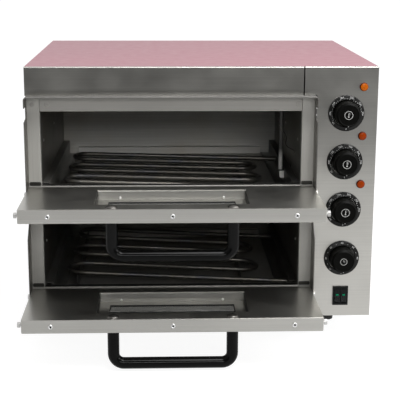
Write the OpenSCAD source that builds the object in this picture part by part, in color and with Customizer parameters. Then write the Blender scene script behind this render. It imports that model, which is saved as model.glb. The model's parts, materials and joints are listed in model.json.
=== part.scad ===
// Double-deck countertop pizza oven: a sheet-metal casing with two chambers one above the other,
// two drop-down doors shown open, and a column of dials, lamps and switches on the right.
// It is drawn with x to the right, y from the front panel to the back and z up from the casing's
// underside. place() then stands it on its feet, with the origin under the middle of its outline.

/* [Casing] */
// Width of the casing
body_w = 560; // [540:1:620]
// Depth of the casing, front panel to back panel
body_d = 480; // [470:1:560]
// Height of the casing without its feet
body_h = 414; // [380:1:460]
// Thickness of the casing sheet
sheet_t = 1; // [0.8:0.1:1.5]
// Depth of the fold along the top of the front panels
fold_d = 6; // [4:0.5:10]
// Depth of the fold at the right edge of the control panel
side_fold_d = 12; // [8:0.5:16]
// Width of the flanges inside the casing
flange_w = 12; // [10:0.5:16]
// Height of the feet
foot_h = 37; // [36:0.5:60]
// Radius of a foot at the casing
foot_top_r = 15; // [13:0.5:20]
// Radius of a foot at the table
foot_base_r = 12; // [9:0.5:13]
// Distance of the feet from the sides of the casing
foot_inset = 58; // [30:1:70]
// Distance of the front feet from the front panel
foot_front = 95; // [60:1:120]
// Distance of the back feet from the back panel
foot_back = 60; // [40:1:100]

/* [Front] */
// Width of the control column beside the doors
control_w = 97.5; // [90:0.5:110]
// Height of the plain fascia over the door hood
fascia_h = 45.5; // [36:0.5:60]
// Height of the lintel over the upper chamber
lintel_h = 25.8; // [22:0.2:36]
// Height of the rail between the chambers
middle_h = 50; // [48:0.5:60]
// How far the hood stands out of the front panel
hood_proj = 23; // [18:0.5:30]
// Thickness of the hood sheet
hood_t = 1.2; // [1:0.1:1.5]
// Outer corner radius of the hood
hood_corner_r = 4; // [2.5:0.5:8]
// How far the frame round the chambers lies behind the front panel
recess_y = 13; // [12:0.5:16]
// Visible width of the frame stiles
stile_w = 20; // [16:0.5:26]
// Depth of the folds round the chamber mouths
return_d = 12; // [8:0.5:16]
// Distance of the fascia seam left of the hood's right side
seam_inset = 21.5; // [15:0.5:30]
// Width of the open seam between fascia and control panel
seam_gap = 2; // [1:0.1:3]
// Gap between the hood and the control panel
panel_gap = 0.5; // [0.3:0.1:1]
// Gap between stiles and rails of the frame
joint_gap = 0.5; // [0.3:0.1:1]

/* [Chambers] */
// Height of the lower chamber's sill
lower_sill = 49.5; // [47:0.5:60]
// Drop from the sill to the chamber floor
floor_drop = 25; // [23:0.5:27]
// Rise from the top of the mouth to the chamber ceiling
head_rise = 12; // [10:0.5:14]
// Thickness of the liner sheet
liner_t = 1; // [0.8:0.1:1.2]
// Space between the chambers and the back panel
back_space = 50; // [45:1:80]
// Thickness of the wool over the top chamber
top_wool = 35; // [20:1:40]
// Thickness of the wool behind the chambers
back_wool = 34; // [20:1:36]
// Width of the ledge on a shelf rail
rail_ledge = 12; // [8:0.5:16]
// Width of the foot of a shelf rail
rail_foot = 18; // [12:0.5:20]
// Height of the rail ledge above the chamber floor
rail_rise = 26.5; // [20:0.5:27]
// Thickness of the rails
rail_t = 1.5; // [1:0.1:2]
// Gap at the ends of the rails
rail_end = 8; // [4:0.5:20]
// Height of the rail along the back wall
rear_rail_rise = 14; // [10:0.5:18]

/* [Heating] */
// Radius of the heating tubes
tube_r = 4; // [3:0.25:4.5]
// Runs of tube in a floor element
floor_runs = 6; // [4:2:6]
// Runs of tube in a ceiling element
ceiling_runs = 4; // [2:2:4]
// Distance between runs on the upper floor
upper_pitch = 49; // [40:0.5:60]
// Distance between runs on the lower floor
lower_pitch = 58; // [40:0.5:62]
// Distance between runs at the ceilings
ceiling_pitch = 70; // [60:0.5:72]
// First run of the upper floor element behind the front panel
upper_first = 45; // [40:0.5:60]
// First run of the lower floor element behind the front panel
lower_first = 68; // [45:0.5:80]
// First run of the ceiling elements behind the front panel
ceiling_first = 95; // [60:0.5:100]
// Clear space left of the bends
bend_left = 31; // [28:0.5:60]
// Clear space right of the bends
bend_right = 54; // [40:0.5:80]
// Height of the floor elements above the floor at the right wall
element_rise = 13; // [10:0.5:16]
// Distance of the ceiling elements below the ceiling
element_drop = 12; // [9:0.5:14]
// Rise of the upper floor element towards the left, in degrees
upper_tilt = 1.7; // [0:0.1:2]
// Rise of the lower floor element towards the left, in degrees
lower_tilt = 2.9; // [0:0.1:3]
// Thickness of the plates that carry the elements
carrier_t = 1.5; // [1:0.1:3]
// Radius of the ceramic beads on the element ends
bead_r = 6.5; // [5:0.25:8]
// Length of the ceramic beads
bead_l = 10; // [6:0.5:12]
// Radius of the sensor bulbs
bulb_r = 3.5; // [2.5:0.25:4]
// Chamber height left free by the sensor bulbs
bulb_clear = 28; // [24:1:60]
// Radius of the capillary tubes
capillary_r = 1; // [0.6:0.1:1.5]

/* [Doors] */
// How much higher a door is than the mouth it covers
door_lap = 34; // [30:0.5:36]
// Thickness of a door
door_t = 21.4; // [20:0.2:23]
// Gap between a door and the hood at each side
door_gap = 0.8; // [0.5:0.1:2]
// Hinge axis in front of the front panel
hinge_out = 6; // [5.5:0.25:8]
// Distance of the hinge axis from the door's lower edge
hinge_edge = 9; // [8:0.25:10]
// Radius of the hinge screws
hinge_r = 3; // [2:0.25:4]
// Width of the window cut-out
window_w = 236; // [180:1:250]
// Distance of the cut-out from the door's lower edge
window_edge = 23; // [20:0.5:24]
// Distance of the cut-out from the door's upper edge
window_far = 32; // [28:0.5:50]
// Width of the clear glass
glass_w = 200; // [140:1:210]
// Width of the border between cut-out and clear glass, front and back
glass_border = 19; // [12:0.5:28]
// Thickness of the glass
glass_t = 4; // [3:0.5:6]
// Distance between the handle legs
handle_span = 182; // [120:1:200]
// How far the handle stands out of the door
handle_reach = 62; // [50:1:62]
// Radius of the handle tube
handle_r = 9; // [7:0.5:10]
// Bend radius of the handle at its middle line
handle_bend = 16; // [12:0.5:24]
// Distance of the handle legs from the door's upper edge
handle_edge = 13; // [12:0.5:15]
// Distance of the latch pins from the door's upper edge
latch_edge = 12; // [10:0.5:15]
// Spacing of the three edge screws
edge_pitch = 185; // [120:1:200]

/* [Latches] */
// Height of the latch notches
notch_h = 19; // [17:0.5:24]
// How far the latch notches reach behind the front panel
notch_in = 1; // [0:0.5:4]
// Slope below the upper notches
upper_ramp = 3; // [0:0.5:24]
// Slope below the lower notches
lower_ramp = 23; // [0:0.5:24]

/* [Controls] */
// Distance of the dial axes from the right side
dial_inset = 50; // [46:0.5:52]
// Distance of the top dial below the top of the casing
dial_drop = 74; // [70:0.5:84]
// Height of the timer dial above the switch
timer_rise = 65; // [60:0.5:70]
// Extra room above the timer dial
timer_extra = 3; // [0:0.5:8]
// Radius of the fixed scale rings
scale_r = 29; // [25:0.5:30]
// Height of the scale rings at their inner edge
scale_h = 4.8; // [3:0.1:6]
// Height of the scale rings at their outer edge
scale_rim = 2.6; // [1.5:0.1:3]
// Radius of the dials that turn in the rings
grip_r = 21; // [17:0.5:22]
// How far the dials stand out of the panel
grip_h = 26; // [22:0.5:30]
// Gap between the dials and the panel
dial_gap = 1.2; // [0.6:0.1:2]
// Gap between the dials and their rings
ring_gap = 0.6; // [0.4:0.1:1]
// Radius of the dial shafts
shaft_r = 3; // [2.5:0.25:4]
// Distance of the lamps from the right side
lamp_inset = 23; // [18:0.5:26]
// Height of each lamp over the middle between two dials
lamp_up = 2.5; // [0:0.5:4]
// Radius of the lamp lenses
lamp_r = 5.5; // [4:0.25:6.5]
// Width of the switch frame
switch_w = 25.4; // [24:0.2:30]
// Height of the switch frame
switch_h = 32; // [30:0.5:36]
// Height of the middle of the switch
switch_z = 35; // [30:0.5:40]
// Swing of the rockers from one side to the other, in degrees
rocker_swing = 18; // [12:1:20]
// Thickness of the thermostat bodies
thermostat_t = 28; // [20:1:36]
// Width of the thermostat bodies
thermostat_w = 36; // [30:1:40]
// Radius of the timer body
timer_r = 23; // [18:0.5:25]
// Radius of the bore in the cable gland
gland_bore_r = 4.5; // [3:0.25:6]
// Height of the cable gland
gland_z = 60; // [40:1:100]

/* [Fasteners and fits] */
// Shank radius of the small screws
screw_r = 2; // [1.5:0.1:2.5]
// Head radius of the small screws
screw_head_r = 3.8; // [3:0.1:4.5]
// Head height of the small screws
screw_head_h = 2.2; // [1.5:0.1:3]
// Length of the small screws under the head
screw_l = 6; // [4:0.5:8]
// Radius of the recess in the small screw heads
socket_r = 1.3; // [1:0.1:1.6]
// Depth of the recess in the small screw heads
socket_d = 1.2; // [0.8:0.1:1.6]
// Shank radius of the handle screws
bolt_r = 2.5; // [2:0.1:3]
// Head radius of the handle screws
bolt_head_r = 9; // [6:0.25:9.5]
// Head height of the handle screws
bolt_head_h = 4; // [2:0.25:5]
// Corner radius of the hexagon heads
hex_r = 4.6; // [4.2:0.1:5]
// Length of the hexagon heads
hex_l = 4.5; // [3:0.25:6]
// Clearance of fixed screws in their holes
hole_gap = 0.1; // [0.05:0.05:0.3]
// Running clearance of hinges and shafts
run_gap = 0.05; // [0.02:0.01:0.1]
// Clearance of rigid pieces that lie or swing side by side
side_gap = 0.3; // [0.2:0.05:0.5]

/* [Hidden] */
$fn = 48;
lower = 0;
upper = 1;
decks = [lower, upper];
cut = 1;

half_w = body_w / 2;
wall_x = half_w - sheet_t;
top_z = body_h - sheet_t;
back_y = body_d - sheet_t;
hood_x0 = -half_w;
hood_x1 = half_w - control_w;
hood_in0 = hood_x0 + hood_t;
hood_in1 = hood_x1 - hood_t;
hood_top = body_h - fascia_h;
mouth_h = (hood_top - hood_t - lintel_h - middle_h - lower_sill) / 2;
deck_pitch = mouth_h + middle_h;
frame_back = recess_y + sheet_t;
mouth_x0 = hood_in0 + stile_w;
mouth_x1 = hood_in1 - stile_w;
seam_x = hood_x1 - seam_inset;
liner_y0 = frame_back + return_d;
liner_y1 = body_d - back_space;
partition_x1 = hood_x1 + sheet_t;

function sill_z(k) = lower_sill + k * deck_pitch;
function mouth_z(k) = sill_z(k) + mouth_h;
function floor_z(k) = sill_z(k) - floor_drop;
function ceiling_z(k) = mouth_z(k) + head_rise;

door_x0 = hood_in0 + door_gap;
door_x1 = hood_in1 - door_gap;
door_mid = (door_x0 + door_x1) / 2;
door_h = mouth_h + door_lap;
hinge_y = -hinge_out;
door_back = hinge_y + hinge_edge;
door_front = door_back - door_h;
latch_y = door_front + latch_edge;
handle_y = door_front + handle_edge;
function hinge_z(k) = sill_z(k) - door_t / 2;
// Middle of a latch notch: where the latch pin stands with the door closed
function notch_z(k) = hinge_z(k) + hinge_y - latch_y;
latch_collar = door_gap + hood_t + side_gap;
hinge_stub = 6;
hinge_shank = door_gap + sheet_t + hood_t + hinge_stub;

window_h = door_h - window_edge - window_far;
glass_h = window_h - 2 * glass_border;
window_y1 = door_back - window_edge;
window_y0 = window_y1 - window_h;
window_mid = (window_y0 + window_y1) / 2;
window_lip = 8;
tray_floor = door_t - 2 * sheet_t - glass_t;
glass_lap = 10;
skin_margin = 4;
inner_fold = 15;

dial_x = half_w - dial_inset;
lamp_x = half_w - lamp_inset;
thermostat_ids = [0, 1, 2];
timer_id = 3;
dial_top = body_h - dial_drop;
timer_z = switch_z + timer_rise;
dial_pitch = (dial_top - timer_z - timer_extra) / timer_id;
lamp_rise = dial_pitch / 2 + lamp_up;
function dial_z(i) = i == timer_id ? timer_z : dial_top - dial_pitch * i;
boss_r = 9;
boss_l = 9;
body_y0 = sheet_t + boss_l;
shaft_in = 13;
shaft_hole_r = shaft_r + 2;
timer_l = 35;
tab_l = 8;
tab_w = 6;
tab_t = 0.8;
grip_bore = 17;
grip_edge = 1;
grip_taper = 1.5;
grip_bevel = 3;
grip_dish = 0.6;

lamp_flange_r = lamp_r + 1.5;
lamp_flange_h = 1.4;
lamp_dome_h = 3.6;
lamp_body_l = 24;
lamp_body_r = lamp_r - 0.3;

switch_body_w = switch_w - 3.4;
switch_body_h = switch_h - 4;
switch_lip = 2.5;
switch_l = 24;
pocket_d = 14;
pocket_h = 24;
pocket_rib = 1.3;
pocket_wall = 0.95;
pocket_w = (switch_body_w - pocket_rib) / 2 - pocket_wall;
rocker_x = (pocket_w + pocket_rib) / 2;
rocker_w = pocket_w - 2 * side_gap;
rocker_half = 10.6;
rocker_axis_y = 2;
rocker_face = 5.5;
rocker_back = 5;
rocker_pin_r = 1.2;
rocker_pin_l = 0.6;

leg_gap = 2.5;
leg_x1 = partition_x1 + 16;
stud_r = 1.6;
stud_l = 10;
capillary_gap = 0.3;
capillary_out = 4;
capillary_step = 4;
capillary_back = 20;
bulb_gap = 1;
bulb_side = 3;
element_gap = 0.2;
left_bend_x = mouth_x0 + bend_left;
right_bend_x = mouth_x1 - bend_right;
carrier_margin = 18;

vent_w = 45;
vent_h = 5;
vent_pitch = 14;
gland_r = 14;
gland_thread_r = 9.9;
gland_hex_l = 7;
gland_dome_l = 5;
gland_nut_l = 6;
gland_out = gland_hex_l + gland_dome_l;
block_w = 44;
block_d = 22;
block_h = 18;

foot_x = half_w - foot_inset;
foot_ys = [foot_front, body_d - foot_back];
foot_recess_r = 5;
foot_recess_h = 10;
back_screw_x = half_w - flange_w / 2;
back_screw_zs = [60, body_h / 2, body_h - 60];
side_screw_ys = [80, body_d / 2, body_d - 80];
side_screw_z = flange_w / 2 + 1;
frame_screw_drop = 16;
frame_screw_z = hood_top - frame_screw_drop;
lintel_screw_left = 12;
lintel_screw_right = 7;
lintel_screw_xs = [mouth_x0 + lintel_screw_left, mouth_x1 - lintel_screw_right];
stile_screw_in = 9;
stile_screw_x = hood_in0 + stile_screw_in;

// Middle of the whole outline, doors open, from front to back
outline_mid = (door_front - screw_head_h + body_d + gland_out) / 2;

steel = [0.72, 0.71, 0.69];
dark_steel = [0.32, 0.31, 0.3];
rose = [0.58, 0.31, 0.38];
black = [0.06, 0.06, 0.06];

// Stands the drawn oven on its feet
module place() {
    translate([0, -outline_mid, foot_h]) children();
}

// Plain block between two corners
module block(low, high) {
    translate(low) cube(high - low);
}

module rod_x(x0, x1, y, z, r) {
    translate([x0, y, z]) rotate([0, 90, 0]) cylinder(h = x1 - x0, r = r);
}

module rod_y(x, y0, y1, z, r) {
    translate([x, y1, z]) rotate([90, 0, 0]) cylinder(h = y1 - y0, r = r);
}

module rod_z(x, y, z0, z1, r) {
    translate([x, y, z0]) cylinder(h = z1 - z0, r = r);
}

// Slot with round ends, cut along y, as wide as w and as high as h
module slot_y(x, z, w, h) {
    block([x - w / 2 + h / 2, back_y - cut, z - h / 2], [x + w / 2 - h / 2, body_d + cut, z + h / 2]);
    for (s = [-1, 1]) rod_y(x + s * (w - h) / 2, back_y - cut, body_d + cut, z, h / 2);
}

// Slot with round ends, cut along x through the right side panel
module slot_x(y, z, w, h) {
    block([wall_x - cut, y - w / 2 + h / 2, z - h / 2], [half_w + cut, y + w / 2 - h / 2, z + h / 2]);
    for (s = [-1, 1]) rod_x(wall_x - cut, half_w + cut, y + s * (w - h) / 2, z, h / 2);
}

// Round-headed screw pointing down, its head standing on z = 0, with a recess in the head
module screw(len = screw_l, r = screw_r, head_r = screw_head_r, head_h = screw_head_h) {
    difference() {
        union() {
            translate([0, 0, head_h / 2]) cylinder(h = head_h / 2, r1 = head_r, r2 = head_r * 0.7);
            cylinder(h = head_h / 2, r = head_r);
            translate([0, 0, -len]) cylinder(h = len, r = r);
        }
        translate([0, 0, head_h - socket_d]) cylinder(h = socket_d + cut, r = socket_r);
    }
}

module facing_front() { rotate([90, 0, 0]) children(); }
module facing_back() { rotate([-90, 0, 0]) children(); }
module facing_left() { rotate([0, -90, 0]) children(); }
module facing_right() { rotate([0, 90, 0]) children(); }
module facing_down() { rotate([180, 0, 0]) children(); }

// Casing

module base_pan() {
    color(dark_steel) difference() {
        union() {
            block([-wall_x, frame_back, 0], [wall_x, back_y, sheet_t]);
            block([hood_x1 + panel_gap, sheet_t, 0], [wall_x, frame_back, sheet_t]);
            for (x = [-wall_x, wall_x - sheet_t])
                block([x, frame_back, 0], [x + sheet_t, back_y, flange_w]);
        }
        for (sx = [-1, 1], y = foot_ys) rod_z(sx * foot_x, y, -cut, sheet_t + cut, screw_r + hole_gap);
        for (y = side_screw_ys) rod_x(-half_w, half_w, y, side_screw_z, screw_r + hole_gap);
    }
}

module feet() {
    color(black) for (sx = [-1, 1], y = foot_ys) translate([sx * foot_x, y, -foot_h]) difference() {
        cylinder(h = foot_h, r1 = foot_base_r, r2 = foot_top_r);
        translate([0, 0, -cut]) cylinder(h = foot_recess_h + cut, r = foot_recess_r);
        cylinder(h = foot_h + cut, r = screw_r + hole_gap);
    }
}

// Flanges inside a side panel, along the top and down the back edge
module side_flanges(side) {
    x0 = side * wall_x;
    x1 = side * (half_w - flange_w);
    block([min(x0, x1), fold_d, top_z - sheet_t], [max(x0, x1), back_y, top_z]);
    block([min(x0, x1), back_y - sheet_t, flange_w + sheet_t], [max(x0, x1), back_y, top_z - sheet_t]);
}

module side_holes() {
    for (sx = [-1, 1], z = back_screw_zs)
        rod_y(sx * back_screw_x, back_y - 2 * sheet_t, body_d + cut, z, screw_r + hole_gap);
    for (y = side_screw_ys) rod_x(-half_w - cut, half_w + cut, y, side_screw_z, screw_r + hole_gap);
}

module left_side_panel() {
    color(rose) difference() {
        union() {
            block([-half_w, sheet_t, 0], [-wall_x, body_d, top_z]);
            side_flanges(-1);
        }
        block([-half_w - cut, 0, -cut], [-wall_x + cut, frame_back, hood_top]);
        side_holes();
    }
}

module right_side_panel() {
    color(rose) difference() {
        union() {
            block([wall_x, side_fold_d, 0], [half_w, body_d, top_z]);
            side_flanges(1);
        }
        side_holes();
        for (row = [0:7], y = [body_d * 0.45, body_d * 0.65])
            slot_x(y, body_h / 2 + (row - 3.5) * vent_pitch, vent_w, vent_h);
    }
}

module top_panel() {
    color(rose) block([-half_w, fold_d, top_z], [half_w, body_d, body_h]);
}

module back_panel() {
    color(steel) difference() {
        block([-wall_x, back_y, 0], [wall_x, body_d, top_z]);
        side_holes();
        rod_y(dial_x, back_y - cut, body_d + cut, gland_z, gland_thread_r + hole_gap);
        for (row = [0:9]) slot_y(dial_x, body_h * 0.55 + (row - 4.5) * vent_pitch, vent_w, vent_h);
        for (col = [-2:2], row = [0:2])
            slot_y(col * 1.5 * vent_w - vent_w, body_h * 0.85 + (row - 1) * vent_pitch, vent_w, vent_h);
    }
}

module front_fascia() {
    color(steel) {
        block([-half_w, 0, hood_top], [seam_x, sheet_t, body_h]);
        block([-half_w, sheet_t, top_z], [seam_x, fold_d, body_h]);
    }
}

module control_panel() {
    color(steel) difference() {
        union() {
            block([seam_x + seam_gap, 0, hood_top + panel_gap], [half_w, sheet_t, body_h]);
            block([hood_x1 + panel_gap, 0, 0], [half_w, sheet_t, body_h]);
            block([seam_x + seam_gap, sheet_t, top_z], [half_w, fold_d, body_h]);
            block([wall_x, sheet_t, 0], [half_w, side_fold_d, top_z]);
        }
        for (i = concat(thermostat_ids, timer_id)) rod_y(dial_x, -cut, sheet_t + cut, dial_z(i), shaft_hole_r);
        for (i = thermostat_ids) rod_y(lamp_x, -cut, sheet_t + cut, dial_z(i) + lamp_rise, lamp_body_r + hole_gap);
        switch_block(hole_gap, -cut, sheet_t + cut);
    }
}

// Outline of the hood: upright sides, level top and round upper corners
module arch(x0, x1, top, r) {
    translate([x0, -cut]) square([x1 - x0, top - r + cut]);
    translate([x0 + r, -cut]) square([x1 - x0 - 2 * r, top + cut]);
    for (x = [x0 + r, x1 - r]) translate([x, top - r]) circle(r = r);
}

module hood_inside() {
    arch(hood_in0, hood_in1, hood_top - hood_t, hood_corner_r - hood_t);
}

// Upright sheet in the x-z plane, from y0 to y1
module upright(y0, y1) {
    translate([0, y1, 0]) rotate([90, 0, 0]) linear_extrude(y1 - y0) children();
}

// Notch that takes the latch pins of deck k, open to the front, with a slope below it
module latch_notch(k, ramp) {
    z0 = notch_z(k) - notch_h * 0.6;
    z1 = notch_z(k) + notch_h * 0.4;
    front = -hood_proj - cut;
    translate([hood_x0 - cut, 0, 0]) rotate([90, 0, 90]) linear_extrude(hood_x1 - hood_x0 + 2 * cut)
        polygon([[front, z0 - ramp], [notch_in, z0], [notch_in, z1], [front, z1]]);
}

module door_hood() {
    color(steel) difference() {
        upright(-hood_proj, frame_back) difference() {
            intersection() {
                arch(hood_x0, hood_x1, hood_top, hood_corner_r);
                translate([hood_x0, 0]) square([hood_x1 - hood_x0, hood_top]);
            }
            hood_inside();
        }
        latch_notch(lower, lower_ramp);
        latch_notch(upper, upper_ramp);
        for (k = decks) rod_x(hood_x0 - cut, hood_x1 + cut, hinge_y, hinge_z(k), hinge_r + run_gap);
    }
}

module left_stile() {
    color(steel) difference() {
        union() {
            upright(recess_y, frame_back) intersection() {
                hood_inside();
                translate([hood_in0, 0]) square([stile_w, hood_top]);
            }
            block([mouth_x0 - sheet_t, frame_back, sheet_t], [mouth_x0, liner_y0, hood_top - hood_t]);
        }
        rod_y(stile_screw_x, recess_y - cut, frame_back + cut, frame_screw_z, screw_r + hole_gap);
    }
}

module right_stile() {
    color(steel) {
        upright(recess_y, frame_back) intersection() {
            hood_inside();
            translate([mouth_x1, 0]) square([stile_w, hood_top]);
        }
        block([mouth_x1, frame_back, sheet_t], [mouth_x1 + sheet_t, liner_y0, hood_top - hood_t]);
    }
}

// Level strip of the front frame, with a fold into the chamber at each mouth edge it has
module frame_strip(z0, z1, folds) {
    x0 = mouth_x0 + joint_gap;
    x1 = mouth_x1 - joint_gap;
    block([x0, recess_y, z0], [x1, frame_back, z1]);
    for (z = folds) block([x0, frame_back, z], [x1, liner_y0, z + sheet_t]);
}

module lintel() {
    color(steel) difference() {
        frame_strip(mouth_z(upper), hood_top - hood_t, [mouth_z(upper)]);
        for (x = lintel_screw_xs)
            rod_y(x, recess_y - cut, frame_back + cut, frame_screw_z, screw_r + hole_gap);
    }
}

module middle_rail() {
    color(steel) frame_strip(mouth_z(lower), sill_z(upper), [mouth_z(lower), sill_z(upper) - sheet_t]);
}

module bottom_rail() {
    color(steel) frame_strip(0, sill_z(lower), [sill_z(lower) - sheet_t]);
}

// Chambers

// Holes through the right wall, its wool and the partition, for element legs and capillaries
module wall_holes() {
    x0 = mouth_x1 - rail_ledge - cut;
    for (k = decks) {
        for (y = leg_ys(floor_runs, floor_first(k), floor_pitch(k)))
            rod_x(x0, partition_x1 + cut, y, floor_z(k) + element_rise, tube_r + leg_gap);
        for (y = leg_ys(ceiling_runs, ceiling_first, ceiling_pitch))
            rod_x(x0, partition_x1 + cut, y, ceiling_z(k) - element_drop, tube_r + leg_gap);
    }
    for (i = thermostat_ids)
        rod_x(x0, partition_x1 + cut, bulb_y(i), capillary_z(i), capillary_r + capillary_gap);
}

module liner(k) {
    color(dark_steel) difference() {
        block(
            [mouth_x0 - liner_t, liner_y0, floor_z(k) - liner_t],
            [mouth_x1 + liner_t, liner_y1 + liner_t, ceiling_z(k) + liner_t]
        );
        block([mouth_x0, liner_y0 + liner_t, floor_z(k)], [mouth_x1, liner_y1, ceiling_z(k)]);
        block([mouth_x0, liner_y0 - cut, sill_z(k)], [mouth_x1, liner_y0 + liner_t + cut, mouth_z(k)]);
        wall_holes();
    }
}

module insulation() {
    y0 = liner_y0 + liner_t;
    z0 = floor_z(lower);
    z1 = ceiling_z(upper);
    color([0.85, 0.8, 0.62]) {
        block([mouth_x0, y0, z1 + liner_t], [mouth_x1, liner_y1, z1 + liner_t + top_wool]);
        block([mouth_x0, y0, ceiling_z(lower) + liner_t], [mouth_x1, liner_y1, floor_z(upper) - liner_t]);
        block([mouth_x0, y0, sheet_t], [mouth_x1, liner_y1, z0 - liner_t]);
        block([-wall_x, y0, z0], [mouth_x0 - liner_t, liner_y1, z1]);
        block([mouth_x0, liner_y1 + liner_t, z0], [mouth_x1, liner_y1 + liner_t + back_wool, z1]);
        difference() {
            block([mouth_x1 + liner_t, y0, z0], [hood_x1, liner_y1, z1]);
            wall_holes();
        }
    }
}

module partition() {
    color(dark_steel) difference() {
        block([hood_x1, frame_back, sheet_t], [partition_x1, back_y, top_z]);
        wall_holes();
    }
}

// Section of a shelf rail on the left wall: ledge, upright and foot
module rail_section() {
    translate([0, rail_rise - rail_t]) square([rail_ledge, rail_t]);
    translate([rail_ledge - rail_t, 0]) square([rail_t, rail_rise]);
    translate([rail_ledge - rail_t, 0]) square([rail_foot, rail_t]);
}

// Rail along the back wall, between the feet of the side rails
module rear_rail(k) {
    x0 = mouth_x0 + rail_ledge + rail_foot;
    x1 = mouth_x1 - rail_ledge - rail_foot;
    z0 = floor_z(k);
    z1 = z0 + rear_rail_rise;
    block([x0, liner_y1 - rail_ledge, z0], [x1, liner_y1 - rail_ledge + rail_t, z1]);
    block([x0, liner_y1 - rail_ledge, z1 - rail_t], [x1, liner_y1, z1]);
}

module shelf_rails(k) {
    y0 = liner_y0 + rail_end;
    y1 = liner_y1 - rail_end;
    color(dark_steel) {
        rear_rail(k);
        translate([mouth_x0, 0, floor_z(k)]) upright(y0, y1) rail_section();
        difference() {
            translate([mouth_x1, 0, floor_z(k)]) mirror([1, 0, 0]) upright(y0, y1) rail_section();
            wall_holes();
        }
    }
}

// Heating

function floor_pitch(k) = k == upper ? upper_pitch : lower_pitch;
function floor_first(k) = k == upper ? upper_first : lower_first;
function floor_tilt(k) = k == upper ? upper_tilt : lower_tilt;
// Front and back run, whose ends leave through the right wall
function leg_ys(runs, first, pitch) = [first, first + (runs - 1) * pitch];

// Half ring that joins two runs, bulging to the left or, with side = 1, to the right
module bend(x, y, pitch, side) {
    translate([x, y, 0]) rotate([0, 0, -90 * side]) rotate_extrude(angle = 180)
        translate([pitch / 2, 0]) circle(r = tube_r);
}

// Heating tube bent to and fro, lying in the plane z = 0
module heating_tube(runs, first, pitch) {
    x0 = left_bend_x + pitch / 2 + tube_r;
    x1 = right_bend_x - pitch / 2 - tube_r;
    for (i = [0:runs - 1]) {
        is_leg = i == 0 || i == runs - 1;
        y = first + i * pitch;
        rod_x(x0, is_leg ? leg_x1 : x1, y, 0, tube_r);
        if (is_leg) rod_x(leg_x1, leg_x1 + stud_l, y, 0, stud_r);
    }
    for (i = [0:2:runs - 2]) bend(x0, first + (i + 0.5) * pitch, pitch, -1);
    for (i = [1:2:runs - 3]) bend(x1, first + (i + 0.5) * pitch, pitch, 1);
}

// Plane of the floor element of deck k, rising to the left from the right wall
module floor_plane(k) {
    translate([hood_x1, 0, floor_z(k) + element_rise]) rotate([0, floor_tilt(k), 0])
        translate([-hood_x1, 0, 0]) children();
}

module ceiling_plane(k) {
    translate([0, 0, ceiling_z(k) - element_drop]) children();
}

module floor_element(k) {
    color(dark_steel) floor_plane(k) heating_tube(floor_runs, floor_first(k), floor_pitch(k));
}

module ceiling_element(k) {
    color(dark_steel) ceiling_plane(k) heating_tube(ceiling_runs, ceiling_first, ceiling_pitch);
}

module beads(ys) {
    x0 = partition_x1 + hole_gap + tan(max(upper_tilt, lower_tilt)) * bead_r;
    for (y = ys) difference() {
        rod_x(x0, x0 + bead_l, y, 0, bead_r);
        rod_x(x0 - cut, x0 + bead_l + cut, y, 0, tube_r + run_gap);
    }
}

module element_beads() {
    color("ivory") for (k = decks) {
        floor_plane(k) beads(leg_ys(floor_runs, floor_first(k), floor_pitch(k)));
        ceiling_plane(k) beads(leg_ys(ceiling_runs, ceiling_first, ceiling_pitch));
    }
}

// Height of the floor element's middle line at x
function element_z(k, x) = floor_z(k) + element_rise + (hood_x1 - x) * tan(floor_tilt(k));

// Upright plates under the floor elements and above the ceiling elements
module element_carriers() {
    under = tube_r + element_gap;
    color(dark_steel) for (k = decks, x = [left_bend_x + carrier_margin, right_bend_x - 2 * carrier_margin]) {
        ys = leg_ys(floor_runs, floor_first(k), floor_pitch(k));
        block(
            [x, ys[0] - tube_r, floor_z(k)],
            [x + carrier_t, ys[1] + tube_r, element_z(k, x + carrier_t) - under / cos(floor_tilt(k))]
        );
        yc = leg_ys(ceiling_runs, ceiling_first, ceiling_pitch);
        block(
            [x, yc[0] - tube_r, ceiling_z(k) - element_drop + under],
            [x + carrier_t, yc[1] + tube_r, ceiling_z(k)]
        );
    }
}

// Controls

// Row of round shapes swept along straight stretches through the given points
module wire(points, r) {
    for (i = [0:len(points) - 2]) {
        d = points[i + 1] - points[i];
        translate(points[i]) rotate([0, acos(d.z / norm(d)), atan2(d.y, d.x)]) cylinder(h = norm(d), r = r);
    }
    for (i = [1:len(points) - 2]) translate(points[i]) sphere(r = r);
}

// Deck, place and capillary of the bulb that belongs to thermostat i
function bulb_deck(i) = i == 2 ? lower : upper;
function bulb_y(i) = ceiling_first + ceiling_pitch * (i == 0 ? 0.75 : ceiling_runs - 0.5);
function capillary_z(i) = ceiling_z(bulb_deck(i)) - bulb_r - bulb_gap;
bulb_l = ceiling_z(upper) - floor_z(upper) - bulb_clear;
bulb_x = mouth_x1 - rail_ledge - bulb_r - bulb_side;
function capillary_x(i) = leg_x1 + stud_l + capillary_out + capillary_step * i;
function capillary_end(i) = dial_z(i) + capillary_step;

module sensor_bulbs() {
    color(steel) for (i = thermostat_ids) {
        x = capillary_x(i);
        y = bulb_y(i);
        z = capillary_z(i);
        end_y = body_y0 + thermostat_t;
        // The first bulb hangs upright in the upper chamber, the others lie along the ceilings
        if (i == 0) rod_z(bulb_x, y, z - bulb_l, z, bulb_r);
        else rod_x(bulb_x - bulb_l, bulb_x, y, z, bulb_r);
        wire([
            [bulb_x - (i == 0 ? 0 : cut), y, z], [x, y, z], [x, end_y + capillary_back, z],
            [x, end_y + capillary_back, capillary_end(i)], [x, end_y, capillary_end(i)]
        ], capillary_r);
    }
}

module body_bore(i) {
    rod_y(dial_x, 0, body_y0 + shaft_in + cut, dial_z(i), shaft_r + run_gap);
}

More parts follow.
